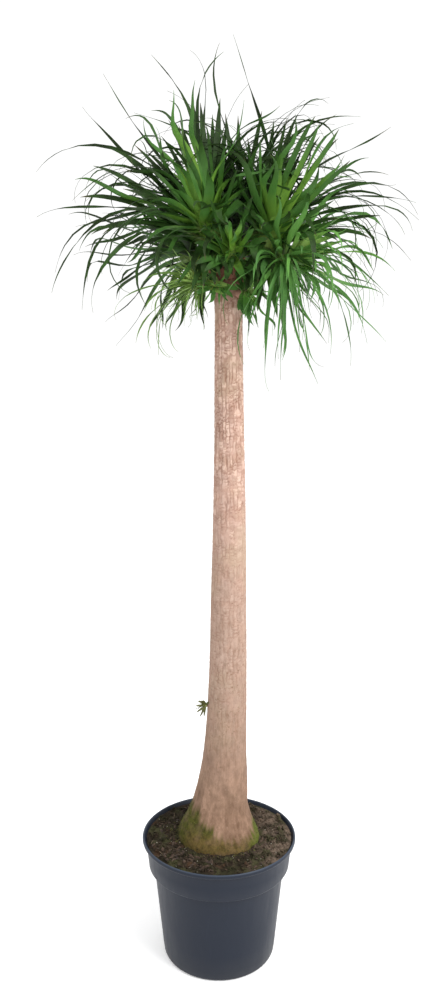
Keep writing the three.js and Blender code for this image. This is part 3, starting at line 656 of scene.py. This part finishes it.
HEADS = [
    dict(name="head_left", seat=[-12, -28, 1828], axis=[-0.36, -0.28, 0.89], neck_from=[16, -6, 1712],
         neck_radii=[21, 15], core=[90, 24], blades=50, length=[300, 335, 135], width=24, lean=[6, 108],
         sag=[14, 100], seed=11,
         strays=[
             [182, 87, 42, 5, 420, 0], [178, 79, 42, 4.5, 430, 0], [184, 62, 48, 1, 430, 0],
             [174, 52, 30, 0.6, 430, 46], [168, 62, -24, 0.8, 475, -25], [186, 32, -44, 1.5, 415, 0],
             [193, 36, -96, 1.2, 480, 0], [202, 24, -102, 1.3, 445, 0], [210, 18, -110, 1.3, 415, 0],
             [222, 10, -114, 1.2, 330, 0], [214, 8, -160, 1.4, 320, 0], [4, 91, 40, 2.5, 400, 10]]),
    dict(name="head_right", seat=[98, -28, 1812], axis=[0.46, -0.26, 0.85], neck_from=[34, -6, 1712],
         neck_radii=[21, 15], core=[90, 24], blades=48, length=[285, 325, 160], width=24, lean=[6, 106],
         sag=[14, 104], seed=23,
         strays=[
             [6, 68, 40, 2.4, 340, 0], [-4, 63, 8, 1.3, 380, 0], [8, 60, -26, 1.4, 365, 0],
             [-8, 56, -30, 0.9, 380, 0], [-14, 50, -52, 1.2, 410, 0], [-18, 40, -70, 1.5, 385, 0],
             [-10, 34, -138, 1.5, 410, 0], [180, 101, 58, 0.9, 465, 0], [3, 84, -85, 6, 370, 0]]),
    dict(name="head_back", seat=[52, 58, 1836], axis=[0.18, 0.5, 0.85], neck_from=[30, 8, 1712],
         neck_radii=[21, 15], core=[90, 24], blades=44, length=[280, 330, 190], width=22, lean=[6, 106],
         sag=[14, 104], seed=37,
         strays=[
             [180, 94, 60, 0.8, 465, 48], [2, 84, -80, 2, 450, 0], [40, 60, -60, 1.2, 430, 0],
             [75, 52, -70, 1.2, 420, 0], [110, 48, -80, 1.3, 430, 0]]),
    dict(name="head_back_left", seat=[-34, 40, 1806], axis=[-0.66, 0.42, 0.62], neck_from=[18, 6, 1708],
         neck_radii=[19, 14], core=[76, 21], blades=36, length=[280, 285, 130], width=20, lean=[8, 94],
         sag=[20, 96], seed=45,
         strays=[
             [165, 58, -20, 1.2, 400, 0], [135, 46, -70, 1.3, 400, 0]]),
    dict(name="head_low_right", seat=[128, -46, 1782], axis=[0.8, -0.48, 0.36], neck_from=[40, -8, 1700],
         neck_radii=[19, 13], core=[66, 20], blades=36, length=[230, 250, 190], width=17, lean=[8, 105],
         sag=[60, 95], seed=60,
         strays=[
             [-8, 18, -98, 1.1, 300, 0], [-16, 10, -112, 0.8, 335, 0], [-26, 5, -84, 0.8, 310, 20],
             [-50, -30, -85, 0.5, 290, 75], [-64, -10, -90, 0.5, 300, 0], [-110, -20, -95, 0.4, 250, 30]]),
    dict(name="tuft_low_left", seat=[-34, -30, 1744], axis=[-0.84, -0.5, 0.1], neck_from=[12, -8, 1722],
         neck_radii=[14, 9], core=[30, 11], blades=26, length=[110, 120, 90], width=7, lean=[8, 95],
         sag=[10, 70], seed=61,
         strays=[
             [-140, 10, -70, 1, 190, 0], [-120, -10, -80, 0.8, 150, 0]]),
    dict(name="tuft_centre", seat=[30, -48, 1796], axis=[0.04, -0.62, 0.78], neck_from=[26, -8, 1724],
         neck_radii=[16, 11], core=[40, 15], blades=22, length=[100, 130, 100], width=16, lean=[8, 110],
         sag=[25, 80], seed=73, strays=[]),
    dict(name="shoot_hanging", seat=[60, -44, 1720], axis=[0.64, -0.76, -0.1], neck_from=[30, -10, 1712],
         neck_radii=[13, 8], core=[20, 9], blades=9, length=[110, 120, 80], width=18, lean=[10, 90],
         sag=[70, 60], seed=83, strays=[]),
    dict(name="shoot_front", seat=[2, -40, 1738], axis=[-0.5, -0.8, 0.15], neck_from=[18, -10, 1726],
         neck_radii=[12, 8], core=[16, 8], blades=8, length=[60, 75, 60], width=15, lean=[12, 85],
         sag=[10, 30], seed=89, strays=[]),
    dict(name="sprig_on_stem", seat=[-33, -8, 675], axis=[-0.98, -0.15, 0.1], neck_from=[-14, -6, 673],
         neck_radii=[5, 3.5], core=[7, 3.4], blades=7, length=[24, 26, 20], width=4.5, lean=[10, 80],
         sag=[10, 40], seed=97, strays=[]),
]  # fmt: skip
BLADE_STEPS = 24
TRIES = 24
ROOT_SINK = 6
WAVES = 6.5
FRONT_LOSS = 0.55  # how much shorter the leaves that come to the front are
THICKEST_CORE = 24
GOLDEN_ANGLE = 137.508
TIP_MATCH = 0.0003  # how near in metres a leaf's tip has to be to a corner of the solid


def unit(values):
    """A vector of length one."""
    values = np.asarray(values, float)
    return values / np.linalg.norm(values)


def draws(seed):
    """A row of even draws from 0 to 1, the same each time for the same seed."""
    factor, modulus = 48271, 2**31 - 1
    state = (seed * factor + 11) % modulus
    while True:
        state = (state * factor) % modulus
        yield state / modulus


def core_radius(head, height):
    """How thick a head's core is at a height above its seat."""
    length, radius = head["core"]
    return radius * (1 - 0.62 * height / length)


def way_of(bearing, rise):
    """A way, or many as rows, that rises above level on a bearing from +X."""
    return np.stack([np.cos(rise) * np.cos(bearing), np.cos(rise) * np.sin(bearing), np.sin(rise)], -1)


def rosette_leaf(head, index, attempt, age=None):
    """The layout of one leaf of a rosette, by the golden angle; the first is innermost and highest."""
    draw = draws(head["seed"] * 4096 + index * TRIES + attempt)
    axis = unit(head["axis"])
    across = unit(np.cross([0, 1, 0], axis))
    along = np.cross(axis, across)
    if age is None:
        age = (index + 0.5) / head["blades"]
    lean_in, lean_out = head["lean"]
    turn = math.radians(index * GOLDEN_ANGLE + (26 + 9 * attempt) * (next(draw) - 0.5))
    lean = lean_in + (lean_out - lean_in) * age**0.8 + (14 + attempt) * (next(draw) - 0.5)
    lean = math.radians(lean)
    way = (
        axis * math.cos(lean)
        + across * math.sin(lean) * math.cos(turn)
        + along * math.sin(lean) * math.sin(turn)
    )
    rise = math.asin(max(-1, min(1, way[2])))
    sag_in, sag_out = head["sag"]
    sag = math.radians((sag_in + (sag_out - sag_in) * age**0.6) * (0.7 + 0.6 * next(draw)))
    return dict(
        age=age,
        forward=-way[1],
        bearing=math.atan2(way[1], way[0]),
        height=head["core"][0] * (0.96 + (0.14 - 0.96) * age**0.8),
        rise=rise,
        fall=max(rise - sag, math.radians(-98 + 20 * next(draw))),
        late=0.8 + 1.2 * next(draw),
        length=np.interp(age, [0, 0.5, 1], head["length"])
        * (0.8 + 0.4 * next(draw))
        * (1 - FRONT_LOSS * max(0, -way[1])),
        width=head["width"] * (0.84 + 0.3 * next(draw)),
        swing=math.radians(50 * (next(draw) - 0.5)),
        twist=math.radians(160 * (next(draw) - 0.5)),
        curl=math.radians(60 * (next(draw) - 0.45)),
        sway=math.radians(25 + 25 * next(draw)),
        phase=2 * math.pi * next(draw),
        waves=WAVES,
        flutter=0.35,
    )


def stray_leaf(head, index, attempt):
    """The layout of one of the long leaves that shape the outline."""
    draw = draws(head["seed"] * 8192 + index * TRIES + attempt)
    bearing, rise, fall, late, length, curl = head["strays"][index]
    return dict(
        age=1.0,
        bearing=math.radians(bearing + 3 * attempt * (next(draw) - 0.5)),
        height=head["core"][0] * (0.22 + 0.28 * max(0, rise) / 90 + 0.02 * attempt),
        rise=math.radians(rise + attempt * (next(draw) - 0.5)),
        fall=math.radians(fall),
        late=late,
        length=length,
        width=0.62 * head["width"],
        swing=math.radians(12 * (next(draw) - 0.5)),
        twist=math.radians(120 * (next(draw) - 0.5)),
        curl=math.radians(curl),
        sway=math.radians(10 + 12 * next(draw)),
        phase=2 * math.pi * next(draw),
        waves=WAVES,
        flutter=1.3,
    )


def midline(head, leaf):
    """The places and frames along a leaf, in mm. It bends in the upright plane of its bearing and sways."""
    axis = unit(head["axis"])
    start = way_of(leaf["bearing"], leaf["rise"])
    outward = unit(start - axis * start.dot(axis))
    sink = ROOT_SINK * head["core"][1] / THICKEST_CORE
    place = (
        np.array(head["seat"], float)
        + axis * leaf["height"]
        + outward * (core_radius(head, leaf["height"]) - sink)
    )
    level = np.array([-math.sin(leaf["bearing"]), math.cos(leaf["bearing"]), 0])
    facing = unit(np.cross(leaf.get("faces", axis), start))
    roll = math.atan2(facing.dot(np.cross(start, level)), facing.dot(level))
    share = np.arange(BLADE_STEPS + 1) / BLADE_STEPS
    sway, wave = leaf["sway"] * share, leaf["phase"] + leaf["waves"] * share
    bend = (leaf["fall"] - leaf["rise"]) * share ** leaf["late"] + leaf["curl"] * share**6
    bearing = leaf["bearing"] + leaf["swing"] * share**2 + sway * np.cos(wave)
    way = way_of(bearing, leaf["rise"] + bend + sway * np.sin(wave))
    kept_roll = roll * ((1 - share) ** 2 + leaf.get("hold", 0) * share**1.5)
    tilt = (kept_roll + leaf["twist"] * share**1.5)[:, None]
    level = np.stack([-np.sin(bearing), np.cos(bearing), 0 * bearing], 1)
    across = level * np.cos(tilt) + np.cross(way, level) * np.sin(tilt)
    up = np.cross(way, across)
    steps = np.concatenate([[place], place + np.cumsum(way[:-1], 0) * leaf["length"] / BLADE_STEPS])
    return steps, across, up


def grown_leaves(head):
    """The leaves that the head's solid has: of each leaf's layouts, the one whose tip is a corner of it."""
    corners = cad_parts[head["name"]].data.vertices
    tree = KDTree(len(corners))
    for i, corner in enumerate(corners):
        tree.insert(corner.co, i)
    tree.balance()
    leaves = []
    for layout, count in ((stray_leaf, len(head["strays"])), (rosette_leaf, head["blades"])):
        for index in range(count):
            for attempt in range(TRIES):
                leaf = layout(head, index, attempt)
                tip = midline(head, leaf)[0][-1] / 1000
                if tree.find(tip)[2] < TIP_MATCH:
                    leaves.append(leaf)
                    break
    return leaves


# The fans: young, broad, straight leaves that stand in front of the heads with their flat side to the front,
# and some dark ones behind them, given ages past 1 so that they are painted dark as shade. Each row has the
# angle in the upright plane from the right, the degrees that it leans to the front and those that it droops,
# its length and width in mm, and its age.
FANS = {
    "head_left": [
        [114, 20, 10, 220, 20, 0.0], [101, 24, 6, 210, 22, -0.1], [85, 18, 10, 200, 22, 0.05],
        [124, 26, 30, 235, 19, 0.35], [108, 32, 10, 190, 17, 0.1], [93, 14, 8, 240, 19, 0.4],
        [119, 12, 22, 270, 18, 0.6], [134, 22, 46, 245, 16, 0.55], [138, 14, 30, 320, 20, 0.8],
        [147, 10, 40, 320, 19, 0.9], [128, 10, 24, 310, 19, 0.8], [156, 18, 50, 290, 18, 0.7],
        [165, 22, 50, 260, 17, 0.6], [145, 26, 60, 230, 15, 0.5], [76, 26, 16, 170, 18, 0.4],
        [-96, 30, 0, 130, 15, 0.2], [-120, 28, 0, 150, 14, 0.3], [-76, 30, 0, 110, 14, 0.5],
        [98, -12, 4, 350, 21, 1.1], [91, -15, 6, 335, 20, 1.2], [104, -10, 8, 315, 18, 1.1],
        [85, -12, 14, 300, 18, 1.2], [112, -14, 12, 300, 17, 1.0], [107, -6, 6, 300, 20, 1.2],
        [80, -14, 10, 290, 18, 1.2], [95, -5, 4, 315, 22, 1.1], [118, -10, 16, 270, 18, 1.1],
        [88, -6, 2, 335, 20, 1.3], [-84, 28, 0, 120, 17, 0.7], [-64, 28, 4, 120, 16, 0.6],
        [-108, 26, 0, 140, 16, 0.7],
    ],
    "head_right": [
        [70, 20, 8, 300, 21, 0.0], [51, 22, 12, 250, 20, -0.35], [92, 24, 4, 225, 17, 0.4],
        [61, 14, 10, 280, 18, 0.25], [57, 28, 6, 300, 22, -0.45], [47, 30, 10, 280, 20, -0.3],
        [65, 27, 5, 285, 21, -0.2], [30, 14, 40, 280, 17, 0.4], [16, 20, 44, 250, 16, 0.5],
        [79, 12, 6, 270, 16, 0.35], [33, 28, 34, 200, 16, 0.2], [42, 30, 20, 200, 16, 0.35],
        [102, 18, 8, 190, 15, 0.45], [22, 30, 50, 190, 15, 0.4], [84, -10, 6, 315, 18, 1.1],
        [66, -10, 12, 320, 18, 1.0], [94, -12, 6, 290, 17, 1.1], [-82, 32, 4, 190, 19, -0.1],
        [-66, 30, 10, 190, 17, 0.1], [-98, 30, 0, 170, 17, 0.3], [-50, 34, 20, 170, 15, 0.3],
        [-112, 34, 0, 150, 15, 0.5], [-104, 36, 0, 150, 26, 0.4], [-114, 32, 4, 130, 24, 0.7],
        [-124, 28, 6, 120, 22, 0.8], [76, -14, 8, 300, 18, 1.2], [99, -14, 10, 300, 17, 1.2],
        [110, -16, 20, 280, 16, 1.2],
    ],
    "head_back": [
        [96, 4, 6, 300, 19, 1.1], [84, 2, 8, 310, 19, 1.1], [90, -8, 5, 320, 18, 1.2],
        [104, 2, 14, 290, 17, 1.2], [76, 0, 14, 290, 17, 1.2], [112, -4, 26, 280, 16, 1.2],
        [68, -4, 24, 280, 16, 1.2],
    ],
    "tuft_centre": [
        [152, 40, 30, 110, 21, 0.4], [121, 46, 20, 105, 23, 0.2], [92, 50, 10, 112, 22, 0.0],
        [60, 46, 20, 108, 23, 0.3], [33, 40, 30, 110, 21, 0.2], [8, 36, 30, 100, 19, 0.5],
        [178, 36, 30, 100, 19, 0.5], [-30, 40, 10, 92, 20, 0.5], [-152, 40, 10, 90, 19, 0.5],
        [-66, 44, 0, 92, 21, 0.4], [-102, 42, 0, 84, 20, 0.3], [-48, 34, 0, 104, 20, 0.5],
        [75, 30, 16, 150, 20, 0.4], [108, 30, 16, 145, 20, 0.5],
    ],
    "tuft_low_left": [
        [-8, 32, 6, 68, 19, -0.2], [-30, 30, 4, 60, 14, 0.0],
    ],
    "sprig_on_stem": [
        [170, 20, 10, 30, 6, 0.6], [140, 20, 10, 28, 6, 0.6], [200, 20, 20, 30, 6, 0.7],
        [110, 30, 10, 23, 6, 0.6], [-120, 20, 0, 32, 5, 0.7], [-100, 20, 0, 28, 5, 0.8],
        [60, 30, 20, 18, 6, 0.7],
    ],
    "shoot_hanging": [
        [95, 32, 0, 64, 26, 0.9], [-96, 20, 0, 52, 24, 0.9], [-76, 26, 0, 60, 17, 0.7],
        [-112, 26, 0, 46, 18, 0.9], [62, 28, 4, 60, 18, 0.6], [118, 26, 4, 54, 17, 0.7],
    ],
    "shoot_front": [
        [-14, 30, 10, 50, 17, 0.2], [196, 30, 20, 66, 17, 0.1], [168, 26, 20, 58, 14, 0.3],
        [-40, 30, 10, 50, 14, 0.4],
    ],
}  # fmt: skip
SMALL_FANS = ("tuft_low_left", "sprig_on_stem")  # thin leaves grow in front of these
FAN_ROOM = 0.35  # how far to the front a thin leaf may grow at most, as a share, where it would hide a fan
LEAF_ROOM = 12  # how far in mm a leaf may reach out of the box of the solid plant


def kept_in_box(head, leaf):
    """Shortens a leaf until it stays inside the box of the solid plant."""
    low, high = np.array(cad_box) * 1000
    while True:
        steps = midline(head, leaf)[0]
        if (steps.min(0) > low - LEAF_ROOM).all() and (steps.max(0) < high + LEAF_ROOM).all():
            return leaf
        leaf["length"] *= 0.93


def drawn_leaf(head, rng, **ranges):
    """A leaf's measures, each drawn from its range: angles in degrees, and the height as a share of the
    core."""
    leaf = {name: rng.uniform(*ends) for name, ends in ranges.items()}
    leaf["height"] *= head["core"][0]
    for name in ("bearing", "rise", "fall", "swing", "twist", "curl", "sway"):
        if name in leaf:
            leaf[name] = math.radians(leaf[name])
    return leaf


def fan_leaves(head):
    """The leaves of a head's fan."""
    rng = random.Random(head["seed"] + 3)
    leaves = []
    for angle, lean, droop, length, width, age in FANS.get(head["name"], []):
        angle, lean = math.radians(angle), math.radians(lean)
        leaf = drawn_leaf(
            head, rng, height=(0.1, 0.35), late=(1.2, 2.2), swing=(-5, 5), twist=(-12, 12), curl=(-20, 10),
            sway=(1, 4), phase=(0, 2 * math.pi), waves=(2, 5), flutter=(0, 0.2),
        )  # fmt: skip
        leaf["bearing"] = math.atan2(-math.sin(lean), math.cos(angle) * math.cos(lean))
        leaf["rise"] = math.asin(math.sin(angle) * math.cos(lean))
        leaf["fall"] = leaf["rise"] - math.radians(droop)
        leaf.update(age=age, length=length, width=width, faces=[0.1, -1, 0.15], hold=1, strap=4)
        leaves.append(leaf)
    return leaves


# Long thin leaves that arch over or hang in wide curves round the outside of the crown. Each row has their
# number and their ranges of bearing, rise, fall and length.
ARCHES = {
    "head_back": [
        (26, (-50, 50), (66, 86), (-85, 0), (330, 440)), (22, (130, 230), (66, 88), (-80, 10), (330, 430)),
    ],
    "head_left": [
        (12, (165, 235), (20, 75), (-110, -40), (330, 450)),
        (22, (-30, 60), (70, 88), (-80, 20), (290, 400)),
    ],
    "head_right": [
        (12, (-45, 20), (20, 72), (-120, -40), (300, 400)),
        (20, (120, 220), (72, 88), (-80, 20), (260, 370)),
    ],
    "head_low_right": [
        (10, (-60, 0), (-20, 30), (-130, -70), (240, 340)),
        (12, (-150, -50), (-50, 5), (-100, -66), (170, 290)),
        (12, (-130, -60), (-65, -15), (-112, -70), (260, 350)),
    ],
    "tuft_low_left": [
        (5, (190, 240), (-20, 20), (-100, -60), (130, 200)),
        (7, (165, 265), (-45, 5), (-120, -50), (180, 270)),
    ],
}  # fmt: skip


def arching_leaves(head, count, bearings, rises, falls, lengths):
    """The leaves of one row of arches."""
    rng = random.Random(head["seed"] + 5)
    return [
        drawn_leaf(
            head, rng, age=(0.7, 1.2), bearing=bearings, height=(0.3, 0.9), rise=rises, fall=falls,
            late=(0.9, 2.0), length=lengths, width=(5, 11), swing=(-20, 20), twist=(-80, 80), curl=(-90, 30),
            sway=(8, 22), phase=(0, 2 * math.pi), waves=(4, 8), flutter=(0.3, 1.2),
        )
        for _ in range(count)
    ]  # fmt: skip


def thin_leaves(head, count, oldest):
    """Narrower, more tousled leaves of the same head that fill it up between the others."""
    rng = random.Random(head["seed"] + 7)
    has_fan = head["name"] in FANS and head["name"] not in SMALL_FANS
    leaves = []
    for index in range(count):
        leaf = rosette_leaf(head, 300 + index, 0, oldest * (index + 0.5) / count)
        if has_fan and leaf["forward"] > FAN_ROOM and leaf["rise"] > 0:
            continue
        leaf["width"] *= rng.uniform(0.4, 0.95)
        leaf["length"] *= rng.uniform(0.8, 1.08)
        leaf["sway"] *= rng.uniform(0.6, 1.5)
        leaf["waves"] = WAVES + rng.uniform(-2, 4)
        leaf["flutter"] = rng.uniform(0.3, 1.3)
        leaves.append(leaf)
    return leaves


# The blank of a leaf is a flat four-sided bar, cut across at the places where a leaf has a section.
LEAF_CUTS = [1, 2, 4, 6, 8, 10, 12, 14, 16, 18, 20, 21, 22, 23]
bpy.ops.mesh.primitive_cylinder_add(vertices=4, radius=0.5, depth=1, location=(0, 0, 0.5))
leaf_blank = bpy.context.object
bpy.ops.object.transform_apply()
bpy.ops.object.mode_set(mode="EDIT")
for cut in LEAF_CUTS:
    bpy.ops.mesh.select_all(action="SELECT")
    bpy.ops.mesh.bisect(plane_co=(0, 0, cut / BLADE_STEPS), plane_no=(0, 0, 1))
bpy.ops.object.mode_set(mode="OBJECT")
blank_corners, blank_faces = mesh_data(leaf_blank)
bpy.data.objects.remove(leaf_blank)
blank_step = np.rint(blank_corners[:, 2] * BLADE_STEPS).astype(int)
blank_side = np.rint(2 * blank_corners[:, 0])  # -1 and 1 at the edges, 0 on the keel
blank_over = np.rint(2 * blank_corners[:, 1])  # 1 above and -1 below the keel


def bent_leaf(head, leaf):
    """The blank, bent along a leaf's midline and narrowed to its outline. Returns its corners and how far
    across and along the leaf each is."""
    steps, across, up = midline(head, leaf)
    share = np.arange(BLADE_STEPS + 1) / BLADE_STEPS
    roll = (leaf["flutter"] * share * np.sin(8.5 * share + 2 * leaf["phase"]))[:, None]
    across, up = across * np.cos(roll) + up * np.sin(roll), up * np.cos(roll) - across * np.sin(roll)
    taper = 1 - np.clip((share - 0.1) / 0.9, 0, 1) ** leaf.get("strap", 2)
    outline = np.interp(share, [0, 0.12], [0.5, 1]) * taper
    width = np.maximum(leaf["width"] * outline, 0.7)
    channel = width * (0.26 * (1 - share) ** 1.5 + 0.07)
    wall = 0.35 + 0.25 * (1 - share)
    k = blank_step
    over = blank_over * wall[k] - np.where(blank_side == 0, 0.5, -0.35) * channel[k]
    across_leaf = 0.5 * blank_side * width[k]
    corners = (
        steps[k]
        + across[k] * across_leaf[:, None]
        + up[k] * np.where(blank_side == 0, over, 0.35 * channel[k])[:, None]
    )
    return corners / 1000, across_leaf / 1000, share[k]


def head_piece(head, leaves, shade, material, slot):
    """All leaves of a head as one piece. Each corner has its leaf's age, which is higher in the shade, its
    leaf's tone and its own place along and across the leaf."""
    rng = random.Random(head["seed"])
    corners, faces = [], []
    values = {"age": [], "tone": [], "along": [], "side": []}
    for leaf in leaves:
        start = len(corners) * len(blank_corners)
        bent, side, share = bent_leaf(head, leaf)
        corners.append(bent)
        faces += [[start + i for i in face] for face in blank_faces]
        values["age"].append(np.full(len(bent), leaf["age"] + shade))
        values["tone"].append(np.full(len(bent), rng.random()))
        values["along"].append(share)
        values["side"].append(side)
    piece = new_piece(head["name"] + "_leaves", corners, faces)
    give_values(piece, **{name: np.concatenate(rows) for name, rows in values.items()})
    bpy.ops.object.select_all(action="DESELECT")
    piece.select_set(True)
    bpy.context.view_layer.objects.active = piece
    bpy.ops.object.mode_set(mode="EDIT")
    bpy.ops.mesh.select_all(action="SELECT")
    bpy.ops.mesh.normals_make_consistent(inside=False)
    bpy.ops.object.mode_set(mode="OBJECT")
    shade_smooth(piece, 75)
    finish(piece, material, slot, head["name"])


def leaf_material(name, young, middle, old_and_shaded, base):
    """A leathery leaf: fine veins along it, a paler base and a dry tip. It darkens with age and towards the
    tip, down to a near-black tone that is partly painted shade deep in the crown, and young ones have a
    waxy sheen that older ones have lost."""
    material, tree, shader = new_material(name, Roughness=0.45)
    age_at, tone_at, along_at, side_at = (
        add_node(tree, "Attribute", out="Fac", attribute_name=value)
        for value in ("age", "tone", "along", "side")
    )
    place = add_node(tree, "TexCoord", out="Object")
    uneven = add_node(tree, "TexNoise", {"Vector": place, "Scale": 22, "Detail": 3})
    uneven_age = add_node(tree, "MapRange", {"Value": tone_at, "To Min": -0.3, "To Max": 0.3})
    outer = {"From Min": 0.15, "From Max": 0.9, "To Min": -0.1, "To Max": 0.95}
    further_out = add_node(tree, "MapRange", {"Value": along_at, **outer})
    varied = add_node(tree, "Math", {0: age_at, 1: uneven_age}, operation="ADD")
    darkness = add_node(tree, "Math", {0: varied, 1: further_out}, operation="ADD")
    waxy = {"From Min": 0.52, "From Max": 1.25, "To Min": 0.26, "To Max": 0.1}
    sheen = add_node(tree, "MapRange", {"Value": darkness, **waxy})
    tree.links.new(sheen, shader.inputs["Specular IOR Level"])
    # Parallel veins stand about 1 mm apart; they are drawn 2.6 mm apart, which is as fine as shows.
    vein = add_node(tree, "Math", {0: side_at, 1: 2 * math.pi / 0.0026}, operation="MULTIPLY")
    wave = add_node(tree, "Math", {0: vein}, operation="COSINE")
    tip_start = add_node(tree, "MapRange", {"Value": tone_at, "To Min": 1.0, "To Max": 0.9})
    past_tip = add_node(tree, "Math", {0: along_at, 1: tip_start}, operation="SUBTRACT")
    leaf_tone = stained(tree, young, (
        (darkness, 0.0, 0.5, 1, middle),
        (darkness, 0.52, 1.25, 1, old_and_shaded),
        (uneven, 0.45, 0.75, 0.35, middle),
        (wave, 0.2, 1.0, 0.16, young),
        (along_at, 0.16, 0.0, 0.6, base),
        (past_tip, 0.0, 0.06, 0.8, "#46402a"),
    ))  # fmt: skip
    tree.links.new(leaf_tone, shader.inputs["Base Color"])
    bump = add_node(tree, "Bump", {"Height": wave, "Strength": 0.25, "Distance": 0.0004})
    tree.links.new(bump, shader.inputs["Normal"])
    return material


# The strap leaf's darkest tone is near black: partly the leaf's age, partly painted shade deep in the crown.
strap_leaf = leaf_material("strap leaf", "#76a23c", "#3c672a", "#131f10", "#a9ba6c")
fresh_leaf = leaf_material("fresh side-shoot leaf", "#8fb458", "#5c8f3f", "#3a6230", "#b9c58a")
tuft_leaf = leaf_material("pale side-shoot leaf", "#a6bd62", "#7b9c4d", "#557239", "#bcc78f")
sprig_leaf = leaf_material("olive sprig leaf", "#959a5c", "#7a7e4a", "#4c4c32", "#7d6a4c")
# What each head wears: its kind of leaf, how many thin leaves it has, how old the oldest of them is, and how
# much older its leaves look for want of light, or younger below 0.
DRESS = {
    "head_left": (strap_leaf, 44, 0.56, 0),
    "head_right": (strap_leaf, 22, 0.6, 0),
    "head_back": (strap_leaf, 46, 0.8, 0.35),
    "head_back_left": (strap_leaf, 26, 0.65, 0.35),
    "head_low_right": (fresh_leaf, 34, 0.85, 0),
    "tuft_low_left": (tuft_leaf, 60, 0.9, 0),
    "tuft_centre": (strap_leaf, 36, 0.9, -0.22),
    "shoot_hanging": (fresh_leaf, 14, 0.9, 0),
    "shoot_front": (fresh_leaf, 14, 0.9, 0),
    "sprig_on_stem": (sprig_leaf, 8, 0.9, 0.35),
}
for head in HEADS:
    material, thin_count, oldest, shade = DRESS[head["name"]]
    leaves = grown_leaves(head) + thin_leaves(head, thin_count, oldest) + fan_leaves(head)
    for arches in ARCHES.get(head["name"], []):
        leaves += arching_leaves(head, *arches)
    leaves = [kept_in_box(head, leaf) for leaf in leaves]
    slot = "leaf" if head["name"].startswith("head_") else "young_leaf"
    head_piece(head, leaves, shade, material, slot)

# The necks: short branches from the top of the trunk to the heads, ringed by the scars of old leaves, and on
# the end of each the core that the bases of the living leaves wrap.

RING_STEP = 5.5  # the height in mm of one ring of scars


def join(name, pieces):
    """Joins pieces into one."""
    bpy.ops.object.select_all(action="DESELECT")
    for piece in pieces:
        piece.select_set(True)
    bpy.context.view_layer.objects.active = pieces[0]
    bpy.ops.object.join()
    pieces[0].name = name
    return pieces[0]


def neck_tube(head):
    """A ringed branch along the neck's curve."""
    start, end = np.array(head["neck_from"], float), np.array(head["seat"], float)
    out = unit(head["axis"])
    reach = np.linalg.norm(end - start)
    a, b = start + np.array([0, 0, 0.3 * reach]), end - out * 0.35 * reach
    tube, across, up = bark_sheet("neck", 28, 40)
    t = up[:, None]
    centre = (1 - t) ** 3 * start + 3 * (1 - t) ** 2 * t * a + 3 * (1 - t) * t**2 * b + t**3 * end
    way = 3 * (1 - t) ** 2 * (a - start) + 6 * (1 - t) * t * (b - a) + 3 * t**2 * (end - b)
    way /= np.linalg.norm(way, axis=1)[:, None]
    side = np.cross(way, [0.3, 0.9, 0.1])
    side /= np.linalg.norm(side, axis=1)[:, None]
    other = np.cross(way, side)
    r0, r1 = head["neck_radii"]
    rings = np.abs(np.sin(np.pi * up * reach / RING_STEP + 0.6 * np.sin(2 * np.pi * across * 3)))
    radius = ((r0 + (r1 - r0) * up) + 0.8 * rings - 0.5)[:, None]
    angle = (2 * np.pi * across)[:, None]
    corners = centre + side * (radius * np.cos(angle)) + other * (radius * np.sin(angle))
    tube.data.vertices.foreach_set("co", (corners / 1000).ravel())
    plain = 0 * rings
    give_values(
        tube,
        crack=0.9 * (1 - rings) ** 2,
        moss=plain,
        plate_tone=0.2 + plain,
        streak=0.5 + plain,
        ochre=plain,
    )
    close_tube(tube, 0.00002)
    return tube


necks = join("necks", [neck_tube(head) for head in HEADS])
finish(necks, cork, "bark", "stem")


def core_bundle(head):
    """The bundle of wrapped leaf bases: a tapered core with low overlapping folds."""
    length, radius = head["core"]
    core, across, up = bark_sheet("core", 30, 24)
    folds = np.abs(((across * 5 + up * 7) % 1) - 0.5) * 2
    reach = np.sqrt(np.clip(1 - up**6, 0, 1)) * radius * (1 - 0.62 * up) + 0.07 * radius * (folds - 0.5)
    reach = np.where(up > 0.999, 0.3, reach)
    axis = Vector(unit(head["axis"]))
    turn = np.array(Vector((0, 0, 1)).rotation_difference(axis).to_matrix())
    angle = 2 * np.pi * across
    local = np.stack([reach * np.cos(angle), reach * np.sin(angle), 0.4 + up * length * 1.04], 1)
    core.data.vertices.foreach_set("co", ((local @ turn.T + np.array(head["seat"])) / 1000).ravel())
    plain = 0 * up
    give_values(core, age=0.35 + plain, tone=0.3 + 0.4 * folds, along=0.1 * up, side=plain)
    close_tube(core, 0.00002)
    return core


cores = join("leaf_base_bundles", [core_bundle(head) for head in HEADS])
finish(cores, strap_leaf, "leaf")

# Moss: small cushions on the foot of the stem, where it is mossy, and on the soil beside it. They are olive,
# in patches of about 11 mm, and yellow green at the right.

moss_green, tree, shader = new_material("cushion moss", Roughness=0.95)
place = add_node(tree, "TexCoord", out="Object")
to_right = add_node(tree, "SeparateXYZ", {"Vector": place}, "X")
shade = add_node(tree, "TexNoise", {"Vector": place, "Scale": 90, "Detail": 3})
moss_tone = stained(tree, "#383814", (
    (shade, 0.35, 0.65, 1, "#615d2a"),
    (to_right, 0.055, 0.1, 0.8, "#535d26"),
))  # fmt: skip
tree.links.new(moss_tone, shader.inputs["Base Color"])
rng = random.Random(8)
cushion_places = []
moss_level = trunk.data.attributes["moss"].data
mossy = [v.index for v in trunk.data.vertices if moss_level[v.index].value > 0.6 and v.co.z > 0.3]
for index in rng.sample(mossy, min(380, len(mossy))):
    size = rng.uniform(0.0014, 0.003)
    turn = random_turn(rng)
    stretch = [size * rng.uniform(0.7, 1.3) for _ in range(3)]
    cushion_places.append((trunk.data.vertices[index].co, turn, stretch))
for spot in soil_spots(rng, 110, 108, 122) + soil_spots(rng, 60, 110, 150, (120, 200)):
    size = rng.uniform(0.0015, 0.004)
    cushion_places.append((spot, random_turn(rng), (size, size, size)))
cushions = copies_of(lump(6, 1.4), "moss_cushions", cushion_places)
finish(cushions, moss_green, "bark")
